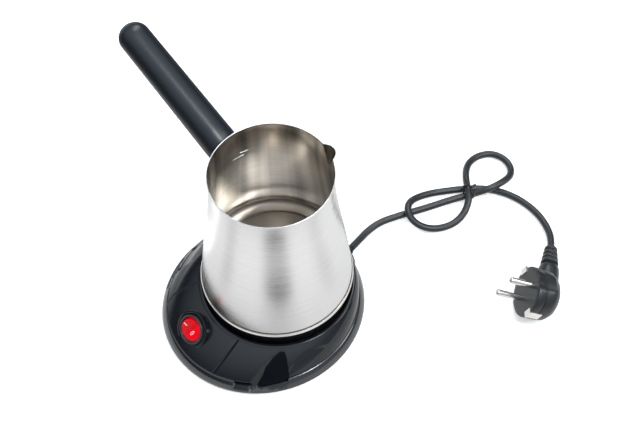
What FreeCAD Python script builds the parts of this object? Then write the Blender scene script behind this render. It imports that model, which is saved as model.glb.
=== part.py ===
"""Electric turkish coffee maker: a cordless steel pot on a power base with a mains lead.

Millimetres, +Z up. The origin is on the table, midway between the end of the handle and the far
side of the base, and midway along the base. The switch looks to -Y, the lead leaves at +Y, and
the handle points to -X.
"""
import FreeCAD, Part
import math
import os

Vector = FreeCAD.Vector
UP = Vector(0, 0, 1)

# Place of the pot's axis, and of the middle of the oval base in front of it
pot_x = 29.0
pot_y = 13.0
base_offset = 13.0

# Pot: outer radius of the steel wall at its foot, shoulder, waist, neck and rim
wall = 0.8
foot_r = 53.2
foot_z = 39.2
shoulder_inset = 3.8
shoulder_r = foot_r - shoulder_inset
shoulder_z = 70.0
waist_inset = 8.3
waist_r = foot_r - waist_inset
waist_z = 100.0
neck_inset = 12.2
neck_r = foot_r - neck_inset
neck_z = 130.0
rim_inset = 12.7
rim_r = foot_r - rim_inset
rim_z = 151.8
rim_bead = 0.75

# Pouring lip: a half cone pressed out of the wall
lip_azimuth = 82.0
lip_reach = 4.2
lip_half_width = 7.5
lip_depth = 17.0

# Foot of the pot
ring_height = 2.8
ring_proud = 0.5
ring_width = 2.6
skirt_inset = 2.2
skirt_r = foot_r - skirt_inset
stud_inset = 9.0
stud_circle = skirt_r - stud_inset
skirt_wall = 2.2
skirt_floor_z = 20.0
skirt_floor = 2.0
spigot_height = 4.0
floor_top_z = 49.0
floor_thickness = 1.0
plate_margin = 2.0
plate_r = stud_circle - plate_margin
plate_rise = 1.4
seam_gap = 0.1

# Heater under the floor
stud_r = 3.0
stud_bore_r = 1.6
spreader_gap = 3.0
spreader_r = stud_circle - stud_r - spreader_gap
spreader_thickness = 2.0
element_inset = 8.0
element_ring_r = spreader_r - element_inset
element_r = 3.3
element_gap_angle = 50.0
cold_end_drop = 6.0
thermostat_r = 9.0
thermostat_height = 7.0
skirt_screw_azimuths = (20.0, 140.0, 260.0)
screw_r = 1.5
screw_head_r = 3.2
screw_head_height = 1.8

# Round connector between pot and base
plug_in_r = 16.0
ring_outer_r = 11.0
ring_inner_r = 6.6
contact_thickness = 0.8
centre_pin_r = 1.7
contact_reach = 6.5
slot_gap = 0.7
upper_block_height = 9.0
tower_r = 16.0
tower_gap = 0.4
flange_r = 23.0
flange_thickness = 2.4
lower_block_z = 7.2
connector_screw_circle = 19.8

# Handle
handle_azimuth = 191.4
handle_rise = 28.0
handle_axis_z = 114.2
handle_length = 105.0
handle_root_r = 12.0
handle_tip_r = 10.8
handle_end = 10.0
handle_thickness_share = 0.88
bracket_thickness = 1.4
bracket_width = 15.0
bracket_height = 17.0
tongue_width = 9.0
tongue_thickness = 2.5
tongue_length = 26.0
handle_screw_at = 17.0
fit_gap = 0.2

# Base
recess_gap = 2.5
recess_r = skirt_r + recess_gap
lip_width = 2.7
lip_r = recess_r + lip_width
lip_z = 25.0
back_margin = 5.8
side_margin = 15.6
half_length = lip_r + base_offset + back_margin
half_width = lip_r + side_margin
foot_gap = 1.6
crest_z = 9.5
crest_inset = 4.5
base_wall = 2.2
recess_z = 16.0
lip_proud = 0.6
crown = 1.2
boss_r = 3.6
foot_pad_r = 6.5
foot_pad_sink = 1.1
feet_back = (48.0, 34.0)
feet_front = (50.0, -38.0)
screws_back = (30.0, 50.0)
screws_front = (27.0, -53.0)

# Raised front panel, its side steps, grooves and the inset leaves at the sides
step_top = (lip_r + 1.4, 331.8, lip_z - 0.1)
step_low = (lip_r + 22.8, 313.2, 4.6)
step_leaf = (lip_r + 19.4, 329.6, 9.3)
leaf_crest = (lip_r + 5.1, 352.0)
leaf_tail = (lip_r + 12.3, 15.0)
leaf_inset = 0.8
groove_depth = 0.6
groove_width = 2.4
groove_top = (lip_r + 1.4, 298.4)
groove_end = (lip_r + 29.8, 293.2)

# Switch and the round pod it sits in
switch_room = 1.537
switch_z = 21.5
switch_turn = 9.0
switch_rise = 38.0
switch_spin = -19.5
pod_rise = 62.0
pod_wall = 2.0
bezel_r = 11.5
bezel_height = 1.3
switch_body_r = 9.9
pod_margin = 3.3
pod_r = switch_body_r + pod_margin
switch_body_depth = 11.0
well_r = 8.75
well_depth = 10.2
rocker_r = 8.5
rocker_pivot_depth = 3.2
rocker_angle = 20.0
rocker_under = 3.6
pivot_r = 1.0
pivot_gap = 0.08
tab_width = 4.8
tab_thickness = 0.8
tab_length = 4.6
lamp_r = 1.8
lamp_length = 7.0

# Lead, its relief at the base, and its plug
cord_r = 2.7
relief_x = 30.0
relief_z = 8.0
relief_r = 4.6
relief_tip_r = 3.6
relief_in = 14.5
flange_at = 9.0
relief_nose = 1.5
nose_length = 4.8
hood_r = 11.0
hood_z = 2.0
hood_reach = 3.9
rib_count = 2
rib_depth = 0.7
plug_face = (137.0, 155.0)
plug_relief_azimuth = 144.0
plug_tilt = 22.0
plug_r = 18.6
plug_depth = 14.5
plug_back_r = 18.1
plug_dome = 6.5
pin_r = 2.4
pin_length = 19.0
pin_root_r = 1.9
pin_root_length = 8.0
pin_spacing = 19.0
plug_neck_azimuth = 132.0
plug_neck_depth = 15.5
plug_neck_length = 25.7
plug_neck_r = 7.6
plug_relief_length = 23.0
plug_relief_drop = 18.0
plug_relief_r = 5.6

# Route of the lead, from the relief on the base to the relief on the plug
route = [
    (30.0, 76.8, 8.0),
    (26.0, 87.0, 5.2),
    (21.6, 98.5, 3.0),
    (20.2, 111.5, 2.7),
    (23.0, 125.0, 2.7),
    (26.6, 138.0, 2.7),
    (30.1, 151.2, 2.7),
    (33.0, 164.2, 2.7),
    (36.5, 177.0, 2.9),
    (41.0, 188.2, 4.6),
    (46.2, 199.0, 9.2),
    (46.5, 210.8, 8.6),
    (43.5, 222.3, 5.0),
    (35.3, 229.1, 3.0),
    (24.9, 229.6, 2.7),
    (16.1, 224.0, 2.7),
    (12.4, 214.2, 2.7),
    (14.0, 203.5, 3.8),
    (20.8, 194.2, 7.0),
    (31.6, 186.0, 9.8),
    (43.2, 180.2, 9.8),
    (50.6, 170.8, 5.0),
    (53.3, 159.2, 2.7),
    (51.5, 147.6, 2.8),
    (46.2, 137.4, 4.2),
    (38.2, 131.0, 7.2),
    (28.2, 131.2, 9.3),
    (20.8, 137.8, 8.6),
    (18.8, 148.8, 5.0),
    (20.6, 160.4, 2.9),
    (25.4, 171.6, 2.7),
    (30.6, 182.2, 2.7),
    (36.8, 193.0, 2.7),
    (45.2, 203.0, 2.7),
    (56.3, 210.9, 2.7),
    (69.4, 215.7, 2.7),
    (83.2, 217.2, 2.8),
    (96.4, 214.2, 4.2),
    (107.0, 208.6, 6.8),
]


def axis_point(z, x=0.0, y=0.0):
    """A point given from the pot's axis."""
    return Vector(pot_x + x, pot_y + y, z)


def polar(radius, azimuth, z):
    """A point at a radius and azimuth from the pot's axis."""
    angle = math.radians(azimuth)
    return axis_point(z, radius * math.cos(angle), radius * math.sin(angle))


def cylinder(radius, start, direction, length):
    """A plain round bar."""
    return Part.makeCylinder(radius, length, start, direction)


def upright(radius, z_low, z_high, x=0.0, y=0.0):
    """A round bar parallel to the pot's axis."""
    return cylinder(radius, axis_point(z_low, x, y), UP, z_high - z_low)


def tube_upright(outer, inner, z_low, z_high, x=0.0, y=0.0):
    """A plain ring or tube parallel to the pot's axis."""
    return upright(outer, z_low, z_high, x, y).cut(upright(inner, z_low - 1, z_high + 1, x, y))


def turned(edges):
    """A solid turned about the pot's axis from edges drawn in the XZ plane."""
    face = Part.Face(Part.Wire(edges))
    solid = face.revolve(Vector(0, 0, 0), UP, 360)
    solid.translate(axis_point(0))
    return solid


def line(start, end):
    """A straight edge between two (radius, height) points."""
    return Part.makeLine(Vector(start[0], 0, start[1]), Vector(end[0], 0, end[1]))


def outline(points):
    """Straight edges through (radius, height) points, closed at the end."""
    return [line(a, b) for a, b in zip(points, points[1:] + points[:1])]


def placed(shape, origin, x_axis, z_axis):
    """The shape moved from its own frame, given by its X and Z directions."""
    y_axis = z_axis.cross(x_axis)
    matrix = FreeCAD.Matrix(
        x_axis.x, y_axis.x, z_axis.x, origin.x,
        x_axis.y, y_axis.y, z_axis.y, origin.y,
        x_axis.z, y_axis.z, z_axis.z, origin.z,
        0, 0, 0, 1)
    moved = shape.copy()
    moved.Placement = FreeCAD.Placement(matrix).multiply(shape.Placement)
    return moved


def mirrored(shape):
    """The shape's twin on the other side of the base's middle plane."""
    return shape.mirror(axis_point(0), Vector(1, 0, 0))


def both_sides(shape):
    """The shape and its mirrored twin."""
    return [shape, mirrored(shape)]


def fused(shapes):
    """One solid from overlapping shapes."""
    return shapes[0].multiFuse(shapes[1:]).removeSplitter()


def save(name, shapes):
    """Write one node, a solid or a group of separate solids."""
    if not isinstance(shapes, list):
        shapes = [shapes]
    solids = [solid for shape in shapes for solid in shape.Solids]
    shape = solids[0] if len(solids) == 1 else Part.makeCompound(solids)
    shape.exportStep("parts/" + name + ".step")
    box = shape.optimalBoundingBox(False)
    print("%-18s %2d solids  %s  volume %9.1f  x %.1f..%.1f  y %.1f..%.1f  z %.1f..%.1f" % (
        name, len(solids), "sound" if shape.isValid() else "NOT SOUND", shape.Volume,
        box.XMin, box.XMax, box.YMin, box.YMax, box.ZMin, box.ZMax))


def wall_curve(inset):
    """The side of the pot from foot to rim, moved inwards by inset."""
    points = [(foot_r, foot_z), (shoulder_r, shoulder_z), (waist_r, waist_z),
              (neck_r, neck_z), (rim_r, rim_z)]
    curve = Part.BSplineCurve()
    curve.interpolate([Vector(r - inset, 0, z) for r, z in points])
    return curve.toShape()


def wall_radius(z):
    """Outer radius of the pot at a height."""
    level = Part.makeLine(Vector(0, 0, z), Vector(90, 0, z))
    return wall_curve(0).distToShape(level)[1][0][0].x


def beak(inset):
    """The cone of the pouring lip, from a point on the wall up to a circle at the rim."""
    radius = lip_half_width - inset
    top_centre = polar(rim_r + lip_reach - lip_half_width, lip_azimuth, rim_z + 0.01)
    low_centre = polar(neck_r - 1.6, lip_azimuth, rim_z - lip_depth)
    top = Part.Wire(Part.makeCircle(radius, top_centre, UP))
    low = Part.Wire(Part.makeCircle(1.0, low_centre, UP))
    return Part.makeLoft([low, top], True, True)


def pot_envelope(inset):
    """The solid inside the pot's side, with its pouring lip."""
    side = wall_curve(inset)
    low = side.valueAt(side.FirstParameter)
    high = side.valueAt(side.LastParameter)
    edges = [side, line((high.x, high.z), (0, high.z)), line((0, high.z), (0, low.z)),
             line((0, low.z), (low.x, low.z))]
    body = turned(Part.__sortEdges__(edges))
    return body.fuse(beak(inset))


def make_pot_shell():
    outer = pot_envelope(0)
    inner = pot_envelope(wall)
    shell = outer.cut(inner)
    low_cut = upright(foot_r + 5, foot_z - 5, foot_z)
    high_cut = upright(foot_r + 5, rim_z, rim_z + 5)
    return shell.cut(low_cut).cut(high_cut)


def make_pot_floor():
    """Dished floor: a raised middle plate, a step and a rim that meets the wall."""
    edge_r = wall_radius(floor_top_z) - wall - 0.03
    rim_height = 3.0
    upper_r = wall_radius(floor_top_z + rim_height) - wall - 0.03
    t = floor_thickness
    top = floor_top_z
    step = plate_rise
    points = [
        (0, top + step), (plate_r, top + step), (plate_r + step, top), (edge_r - 3.0, top),
        (upper_r - t, top + rim_height), (upper_r, top + rim_height), (edge_r, top - t),
        (plate_r + step - t, top - t), (plate_r - t, top + step - t), (0, top + step - t)]
    return turned(outline(points))


def make_trim_ring():
    z_low = foot_z - ring_height
    outer = foot_r + ring_proud
    points = [(outer - ring_width, z_low), (outer - 0.7, z_low), (outer, z_low + 0.8),
              (outer, foot_z - 0.8), (outer - 0.7, foot_z), (outer - ring_width, foot_z)]
    return turned(outline(points))


def make_skirt():
    """Black cup under the pot: shoulder, spigot inside the ring, floor and foot rim."""
    top = foot_z - ring_height
    inner = skirt_r - skirt_wall
    spigot_r = foot_r + ring_proud - ring_width - seam_gap
    shoulder = foot_r - 0.3
    points = [
        (inner, recess_z), (skirt_r - 0.8, recess_z), (skirt_r, recess_z + 0.8),
        (skirt_r, top - 4.0), (shoulder, top - 1.2), (shoulder, top), (spigot_r, top),
        (spigot_r, top + spigot_height), (spigot_r - 1.8, top + spigot_height),
        (spigot_r - 1.8, top - 2.0), (inner, top - 4.0),
        (inner, skirt_floor_z + skirt_floor), (plug_in_r + fit_gap, skirt_floor_z + skirt_floor),
        (plug_in_r + fit_gap, skirt_floor_z), (inner, skirt_floor_z)]
    skirt = turned(outline(points))
    for azimuth in skirt_screw_azimuths:
        place = polar(stud_circle, azimuth, skirt_floor_z - 1)
        skirt = skirt.cut(cylinder(screw_r + fit_gap, place, UP, 6))
    return skirt


def make_heater():
    """Spreader disc, tubular ring with two cold ends, and the thermostat."""
    under = floor_top_z + plate_rise - floor_thickness
    low = under - spreader_thickness
    spreader = upright(spreader_r, low, under)
    ring_z = low - element_r
    sweep = 360 - element_gap_angle
    ring = Part.makeTorus(element_ring_r, element_r, Vector(0, 0, 0), UP, -180, 180, sweep)
    ring.rotate(Vector(0, 0, 0), UP, element_gap_angle / 2)
    ring.translate(axis_point(ring_z))
    pieces = [ring]
    for side in (-1, 1):
        end = polar(element_ring_r, side * element_gap_angle / 2, ring_z)
        pieces.append(Part.makeSphere(element_r, end))
        pieces.append(cylinder(element_r * 0.7, end, Vector(0, 0, -1), element_r + cold_end_drop))
    element = fused(pieces)
    thermostat = upright(thermostat_r, low - thermostat_height + 2, low)
    thermostat = thermostat.fuse(upright(thermostat_r - 3, low - thermostat_height, low))
    return spreader, element, thermostat


def make_studs():
    under = floor_top_z - floor_thickness
    base = skirt_floor_z + skirt_floor
    studs = []
    screws = []
    for azimuth in skirt_screw_azimuths:
        x = stud_circle * math.cos(math.radians(azimuth))
        y = stud_circle * math.sin(math.radians(azimuth))
        stud = upright(stud_r, base, under, x, y)
        studs.append(stud.cut(upright(stud_bore_r, base - 1, base + 9, x, y)))
        head = upright(screw_head_r, skirt_floor_z - screw_head_height, skirt_floor_z, x, y)
        screws.append(head.fuse(upright(screw_r, skirt_floor_z, base + 8, x, y)))
    return studs, screws


def make_upper_connector():
    """Plastic block in the skirt's floor, with a centre pin and two rings hanging from it."""
    low = skirt_floor_z
    base = low + skirt_floor
    block = upright(plug_in_r, low, base + upper_block_height)
    block = block.fuse(upright(plug_in_r + 3.0, base, base + 2.5))
    tip = low - contact_reach
    root = low + 3.0
    contacts = [upright(centre_pin_r, tip, root)]
    for radius in (ring_inner_r, ring_outer_r):
        contacts.append(tube_upright(radius, radius - contact_thickness, tip, root))
    for contact in contacts:
        block = block.cut(contact)
    return block.removeSplitter(), contacts


def make_lower_connector():
    """Plastic tower in the recess with a socket for the pin and a slot for each ring."""
    top = skirt_floor_z - 1.0
    under = recess_z - base_wall
    tower = upright(tower_r - tower_gap, under, top)
    flange = upright(flange_r, under - flange_thickness, under)
    block = upright(tower_r - 2.0, lower_block_z, under)
    body = fused([tower, flange, block])
    slot_floor = skirt_floor_z - contact_reach - 3.0
    cuts = [upright(centre_pin_r + slot_gap, slot_floor, top + 1)]
    for radius in (ring_inner_r, ring_outer_r):
        outer = radius + slot_gap
        inner = radius - contact_thickness - slot_gap
        cuts.append(tube_upright(outer, inner, slot_floor, top + 1))
    contacts = []
    for radius, azimuth in ((0.0, 0.0), (ring_inner_r - contact_thickness / 2, 120.0),
                            (ring_outer_r - contact_thickness / 2, 240.0)):
        x = radius * math.cos(math.radians(azimuth))
        y = radius * math.sin(math.radians(azimuth))
        contacts.append(upright(0.9, lower_block_z - 3.0, slot_floor + 2.9, x, y))
        cuts.append(upright(0.9, lower_block_z - 1.0, slot_floor + 1, x, y))
    for cut in cuts:
        body = body.cut(cut)
    screws = []
    for azimuth in (0.0, 180.0):
        x = connector_screw_circle * math.cos(math.radians(azimuth))
        low = under - flange_thickness
        shank = upright(1.2, low, under + 1.6, x)
        head = upright(2.4, low - 1.6, low, x)
        body = body.cut(upright(1.2 + 0.05, low - 1, under + 1, x))
        screws.append(head.fuse(shank))
    return body, contacts, screws


def handle_frame():
    """Origin on the pot's axis, direction outwards along the handle, and its upward normal."""
    azimuth = math.radians(handle_azimuth)
    rise = math.radians(handle_rise)
    flat = Vector(math.cos(azimuth), math.sin(azimuth), 0)
    along = flat * math.cos(rise) + UP * math.sin(rise)
    normal = UP * math.cos(rise) - flat * math.sin(rise)
    return axis_point(handle_axis_z), along, normal


def make_handle():
    """Handle with its round end, the bracket and its tongue, and the screw between them."""
    origin, along, normal = handle_frame()
    root = rim_r / math.cos(math.radians(handle_rise)) - 8.0
    tip = rim_r / math.cos(math.radians(handle_rise)) + handle_length
    shoulder = tip - handle_end
    side = Part.makeLine(Vector(root, 0, handle_root_r), Vector(shoulder, 0, handle_tip_r))
    quarter = math.sqrt(0.5)
    knee = Vector(shoulder + handle_end * quarter, 0, handle_tip_r * quarter)
    end = Part.Arc(Vector(shoulder, 0, handle_tip_r), knee, Vector(tip, 0, 0)).toShape()
    axis = Part.makeLine(Vector(tip, 0, 0), Vector(root, 0, 0))
    cap = Part.makeLine(Vector(root, 0, 0), Vector(root, 0, handle_root_r))
    grip = Part.Face(Part.Wire([side, end, axis, cap])).revolve(
        Vector(0, 0, 0), Vector(1, 0, 0), 360)
    flatten = FreeCAD.Matrix()
    flatten.scale(1.0, 1.0, handle_thickness_share)
    grip = placed(grip.transformGeometry(flatten), origin, along, normal)

    envelope = pot_envelope(0)
    pad_envelope = pot_envelope(-bracket_thickness)
    centre_r = rim_r / math.cos(math.radians(handle_rise))
    block = Part.makeBox(30, bracket_width, bracket_height,
                         Vector(centre_r - 15, -bracket_width / 2, -bracket_height / 2))
    pad = placed(block, origin, along, normal).common(pad_envelope)
    bar = Part.makeBox(tongue_length + 8, tongue_width, tongue_thickness,
                       Vector(centre_r - 4, -tongue_width / 2, -tongue_thickness / 2))
    bracket = pad.fuse(placed(bar, origin, along, normal)).cut(envelope)

    clear = Part.makeBox(tongue_length + 9, tongue_width + 2 * fit_gap,
                         tongue_thickness + 2 * fit_gap,
                         Vector(centre_r - 4, -tongue_width / 2 - fit_gap,
                                -tongue_thickness / 2 - fit_gap))
    handle = grip.cut(pot_envelope(-bracket_thickness - fit_gap))
    handle = handle.cut(placed(clear, origin, along, normal))

    depth = handle_root_r * handle_thickness_share
    place = Vector(centre_r + handle_screw_at, 0, -depth - 2)
    shank = cylinder(screw_r, place, UP, depth + 2 + 5)
    head = cylinder(screw_head_r, place, UP, 2 + 3.2)
    well = cylinder(screw_head_r + fit_gap, place, UP, 2 + 3.2)
    hole = cylinder(screw_r + 0.05, place, UP, depth + 2 + 5.1)
    trim = cylinder(screw_head_r + 1, place, UP, 2 + 1.4)
    handle = handle.cut(placed(well.fuse(hole), origin, along, normal))
    bracket = bracket.cut(placed(hole, origin, along, normal))
    screw = placed(shank.fuse(head).cut(trim), origin, along, normal)
    return handle.removeSplitter(), bracket.removeSplitter(), screw


def ring_wire(length, width, y, z):
    """A level ellipse or circle, drawn from its far end, for lofting."""
    centre = axis_point(z, 0, y)
    curve = Part.Circle(centre, UP, length)
    if length > width:
        curve = Part.Ellipse(centre, length, width)
    edge = curve.toShape()
    edge.rotate(centre, UP, 90)
    return Part.Wire(edge)


def oval(inset, z):
    """The base's oval outline, moved inwards."""
    return ring_wire(half_length - inset, half_width - inset, -base_offset, z)


def dish(inset, drop):
    """The top of the base from its oval crest to the round lip, moved inwards and down."""
    middle_z = (crest_z + lip_z) / 2 + crown - drop
    length = (half_length - crest_inset + lip_r) / 2 + crown - inset
    width = (half_width - crest_inset + lip_r) / 2 + crown - inset
    wires = [oval(crest_inset + inset, crest_z - drop),
             ring_wire(length, width, -base_offset / 2, middle_z),
             ring_wire(lip_r - inset, lip_r - inset, 0, lip_z - drop)]
    return Part.makeLoft(wires, True, False)


def switch_frame():
    """Middle of the switch's face, its outward normal, and its direction to the right."""
    heading = math.radians(270 + switch_turn)
    rise = math.radians(switch_rise)
    flat = Vector(math.cos(heading), math.sin(heading), 0)
    normal = flat * math.cos(rise) + UP * math.sin(rise)
    spin = math.radians(switch_spin)
    level = UP.cross(flat)
    right = level * math.cos(spin) + normal.cross(level) * math.sin(spin)
    behind = switch_body_depth * math.cos(rise) + switch_body_r * math.sin(rise)
    reach = recess_r + base_wall + switch_room + behind
    return polar(reach, 270, switch_z), normal, right


def make_pod():
    """Round pod for the switch: its outside, its inside and what its sloped face cuts away."""
    face, normal, right = switch_frame()
    heading = math.radians(270 + switch_turn)
    rise = math.radians(pod_rise)
    axis = Vector(math.cos(heading), math.sin(heading), 0) * math.cos(rise) + UP * math.sin(rise)
    start = face - axis * 16
    outside = cylinder(pod_r, start, axis, 34)
    inside = cylinder(pod_r - pod_wall, start, axis, 34)
    above = placed(Part.makeBox(60, 60, 30, Vector(-30, -30, 0)), face, right, normal)
    above_inside = placed(Part.makeBox(60, 60, 40, Vector(-30, -30, -pod_wall)), face, right, normal)
    return outside.cut(above), inside.cut(above_inside), outside.common(above)


def surface_strip(plan, depth):
    """The skin of the dish, depth thick, inside an upright plan shape."""
    return plan.cut(dish(0, depth).fuse(upright(lip_r, 0, lip_z - depth)))


def upright_plate(points):
    """An upright plate from plan points, reaching through the base."""
    corners = points + points[:1]
    face = Part.Face(Part.makePolygon([Vector(p.x, p.y, 0) for p in corners]))
    return face.extrude(Vector(0, 0, 60))


def make_step():
    """The slanted pocket beside the raised front panel, and the floor that closes it below."""
    top = polar(*step_top)
    low = polar(*step_low)
    leaf = polar(*step_leaf)
    low = top + (low - top) * 1.4
    leaf = top + (leaf - top) * 1.4
    face = Part.Face(Part.makePolygon([top, low, leaf, top]))
    below = face.copy()
    below.translate(Vector(0, 0, -base_wall))
    return face.extrude(Vector(0, 0, 40)), below.extrude(Vector(0, 0, base_wall))


def make_leaf():
    """Leaf-shaped inset between the pocket and the back of the base."""
    tip = polar(step_leaf[0], step_leaf[1] + 0.4, 0)
    crest = polar(*leaf_crest, 0)
    tail = polar(*leaf_tail, 0)
    far = polar(leaf_tail[0] + 21.5, leaf_tail[1] + 2.0, 0)
    near = polar(leaf_tail[0] + 21.5, step_leaf[1] + 1.5, 0)
    arc = Part.Arc(tip, crest, tail).toShape()
    edges = [arc, Part.makeLine(tail, far), Part.makeLine(far, near), Part.makeLine(near, tip)]
    return Part.Face(Part.Wire(edges)).extrude(Vector(0, 0, 60))


def make_groove():
    """Straight shallow groove that runs down the front panel."""
    start = polar(*groove_top, 0)
    end = polar(*groove_end, 0)
    along = (end - start).normalize()
    side = UP.cross(along) * (groove_width / 2)
    return upright_plate([start + side * 0.6, end + side, end - side, start - side * 0.6])


def make_housing():
    outer = dish(0, 0).fuse(upright(lip_r, lip_z - 4, lip_z + lip_proud))
    pod_outside, pod_inside, pod_above = make_pod()
    outer = outer.fuse(pod_outside.common(upright(100, crest_z, 60)).cut(
        upright(recess_r + base_wall, 0, 60)))
    outer = outer.cut(pod_above)
    for plan in both_sides(make_leaf()):
        outer = outer.cut(surface_strip(plan, leaf_inset))
    for plan in both_sides(make_groove()):
        outer = outer.cut(surface_strip(plan, groove_depth).cut(pod_outside))

    keep = upright(recess_r + base_wall, recess_z - base_wall, 60)
    cavity = dish(0.4 * base_wall, base_wall).cut(keep)
    pod_room = pod_inside.cut(keep)
    housing = outer.cut(cavity).cut(pod_room)
    pocket, pocket_floor = make_step()
    envelope = tray_envelope().fuse(dish(0, 0)).cut(upright(recess_r + 0.5 * base_wall, 0, 60))
    for solid, plate in zip(both_sides(pocket), both_sides(pocket_floor.common(envelope))):
        housing = housing.cut(solid).fuse(plate)
    housing = housing.cut(upright(recess_r, recess_z, 60))
    housing = housing.cut(upright(tower_r, 0, 60))
    for x, y in (screws_back, screws_front):
        boss_top = recess_z - base_wall / 2 if y > 0 else lip_z
        boss = cylinder(boss_r, Vector(pot_x + x, y, foot_gap + base_wall), UP,
                        boss_top - foot_gap - base_wall)
        boss = boss.common(dish(0.3, 1.0).fuse(upright(lip_r + 20, 0, crest_z)))
        bore = cylinder(screw_r, Vector(pot_x + x, y, 0), UP, 10.8)
        for solid, hole in zip(both_sides(boss), both_sides(bore)):
            housing = housing.fuse(solid).cut(hole)
    face, normal, _ = switch_frame()
    behind = switch_body_depth + 1.0
    seat = cylinder(switch_body_r + 0.1, face - normal * behind, normal, behind + 8.0)
    housing = housing.cut(seat.cut(
        upright(recess_r + base_wall, 0, 60)))
    for azimuth in (0.0, 180.0):
        x = connector_screw_circle * math.cos(math.radians(azimuth))
        housing = housing.cut(upright(1.2 + 0.05, 0, recess_z - 0.4, x))
    return housing.cut(relief_hole())


def relief_hole():
    """Hole in the back for the strain relief."""
    reach = relief_in + 1.0
    start = Vector(relief_x, half_length - crest_inset - reach, relief_z)
    return cylinder(relief_r + 0.1, start, Vector(0, 1, 0), reach + 20.0)


def tray_envelope():
    """The flared outside of the lower tray."""
    middle_z = (foot_gap + crest_z) / 2
    return Part.makeLoft([oval(0, foot_gap), oval(crest_inset * 0.38, middle_z),
                          oval(crest_inset, crest_z)], True, False)


def make_tray():
    """Lower tray with its flared rim and flat floor."""
    low = foot_gap
    middle_z = (low + crest_z) / 2
    inner = Part.makeLoft([oval(base_wall, low + base_wall),
                           oval(crest_inset * 0.38 + base_wall, middle_z + base_wall / 2),
                           oval(crest_inset + base_wall, crest_z)], True, False)
    wall_y = half_length - crest_inset
    hood = cylinder(hood_r, Vector(relief_x, wall_y - 3.0, hood_z), Vector(0, 1, 0), 3.0 + hood_reach)
    hood = hood.cut(upright(2 * half_length, -hood_r, low)).cut(dish(0, 0)).cut(inner)
    tray = tray_envelope().cut(inner).fuse(hood)
    pocket, pocket_floor = make_step()
    for solid in both_sides(pocket) + both_sides(pocket_floor):
        tray = tray.cut(solid)
    for x, y in (feet_back, feet_front):
        pad = cylinder(foot_pad_r + 0.1, Vector(pot_x + x, y, 0), UP, low + foot_pad_sink)
        for hole in both_sides(pad):
            tray = tray.cut(hole)
    for x, y in (screws_back, screws_front):
        hole = cylinder(screw_r + fit_gap, Vector(pot_x + x, y, 0), UP, 8)
        well = cylinder(screw_head_r + fit_gap, Vector(pot_x + x, y, 0), UP, low + 1.2)
        for cut in both_sides(hole.fuse(well)):
            tray = tray.cut(cut)
    return tray.cut(relief_hole())


def make_base_fasteners():
    """Feet and tray screws, one group each."""
    feet = []
    for x, y in (feet_back, feet_front):
        pad = cylinder(foot_pad_r, Vector(pot_x + x, y, 0), UP, foot_gap + foot_pad_sink)
        feet += both_sides(pad)
    screws = []
    for x, y in (screws_back, screws_front):
        low = foot_gap + 1.2
        head = cylinder(screw_head_r, Vector(pot_x + x, y, low - 1.0), UP, 1.0)
        shank = cylinder(screw_r - 0.02, Vector(pot_x + x, y, low), UP, 7.0)
        screws += both_sides(head.fuse(shank))
    return feet, screws


def make_switch():
    """Round switch body with its bezel, terminals, rocker and lamp, in the switch's own frame."""
    face, normal, right = switch_frame()
    bezel = Part.makeCylinder(bezel_r, bezel_height)
    rim_edges = [edge for edge in bezel.Edges if edge.BoundBox.ZMin > bezel_height - 0.01]
    bezel = bezel.makeChamfer(0.6, rim_edges)
    body = bezel.fuse(Part.makeCylinder(switch_body_r, switch_body_depth,
                                        Vector(0, 0, -switch_body_depth)))
    well = Part.makeCylinder(well_r, well_depth + 10, Vector(0, 0, bezel_height - well_depth))
    pivot_z = bezel_height - rocker_pivot_depth
    bore = Part.makeCylinder(pivot_r + pivot_gap, 2 * switch_body_r - 0.6,
                             Vector(0, -switch_body_r + 0.3, pivot_z), Vector(0, 1, 0))
    body = body.cut(well).cut(bore)
    tabs = []
    for x in (-6.0, 0.0, 6.0):
        tab = Part.makeBox(tab_thickness, tab_width, tab_length + 1.0,
                           Vector(x - tab_thickness / 2, -tab_width / 2,
                                  -switch_body_depth - tab_length))
        tabs.append(tab)
    for tab in tabs:
        body = body.cut(tab)

    ball = Part.makeSphere(rocker_r, Vector(0, 0, pivot_z))
    span = rocker_r + 3.15
    lift = math.tan(math.radians(rocker_angle)) * span
    top = bezel_height - 0.5
    section = [(-span, top + lift), (0, top), (span, top), (span, pivot_z - rocker_under),
               (-span, pivot_z - rocker_under)]
    corners = [Vector(x, -span, z) for x, z in section]
    block = Part.Face(Part.makePolygon(corners + corners[:1])).extrude(Vector(0, 2 * span, 0))
    pins = Part.makeCylinder(pivot_r, 2 * switch_body_r - 1.2,
                             Vector(0, -switch_body_r + 0.6, pivot_z), Vector(0, 1, 0))
    rocker = ball.common(block).fuse(pins)
    lamp_z = pivot_z - rocker_under + lamp_r + 0.2
    lamp = Part.makeCylinder(lamp_r, lamp_length, Vector(3.5, -lamp_length / 2, lamp_z),
                             Vector(0, 1, 0))
    pocket = Part.makeBox(2 * lamp_r + 0.1, lamp_length + 0.4, lamp_r + 4,
                          Vector(3.5 - lamp_r - 0.05, -lamp_length / 2 - 0.2, lamp_z - lamp_r - 4))
    pocket = pocket.fuse(Part.makeCylinder(lamp_r + 0.05, lamp_length + 0.4,
                                           Vector(3.5, -lamp_length / 2 - 0.2, lamp_z),
                                           Vector(0, 1, 0)))
    rocker = rocker.cut(pocket)
    up_face = normal.cross(right)
    print("rocker pivot", face + normal * pivot_z, "axis", -up_face)
    return [placed(shape, face, right, normal) for shape in (body, rocker, lamp)] + [
        [placed(tab, face, right, normal) for tab in tabs]]


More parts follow.
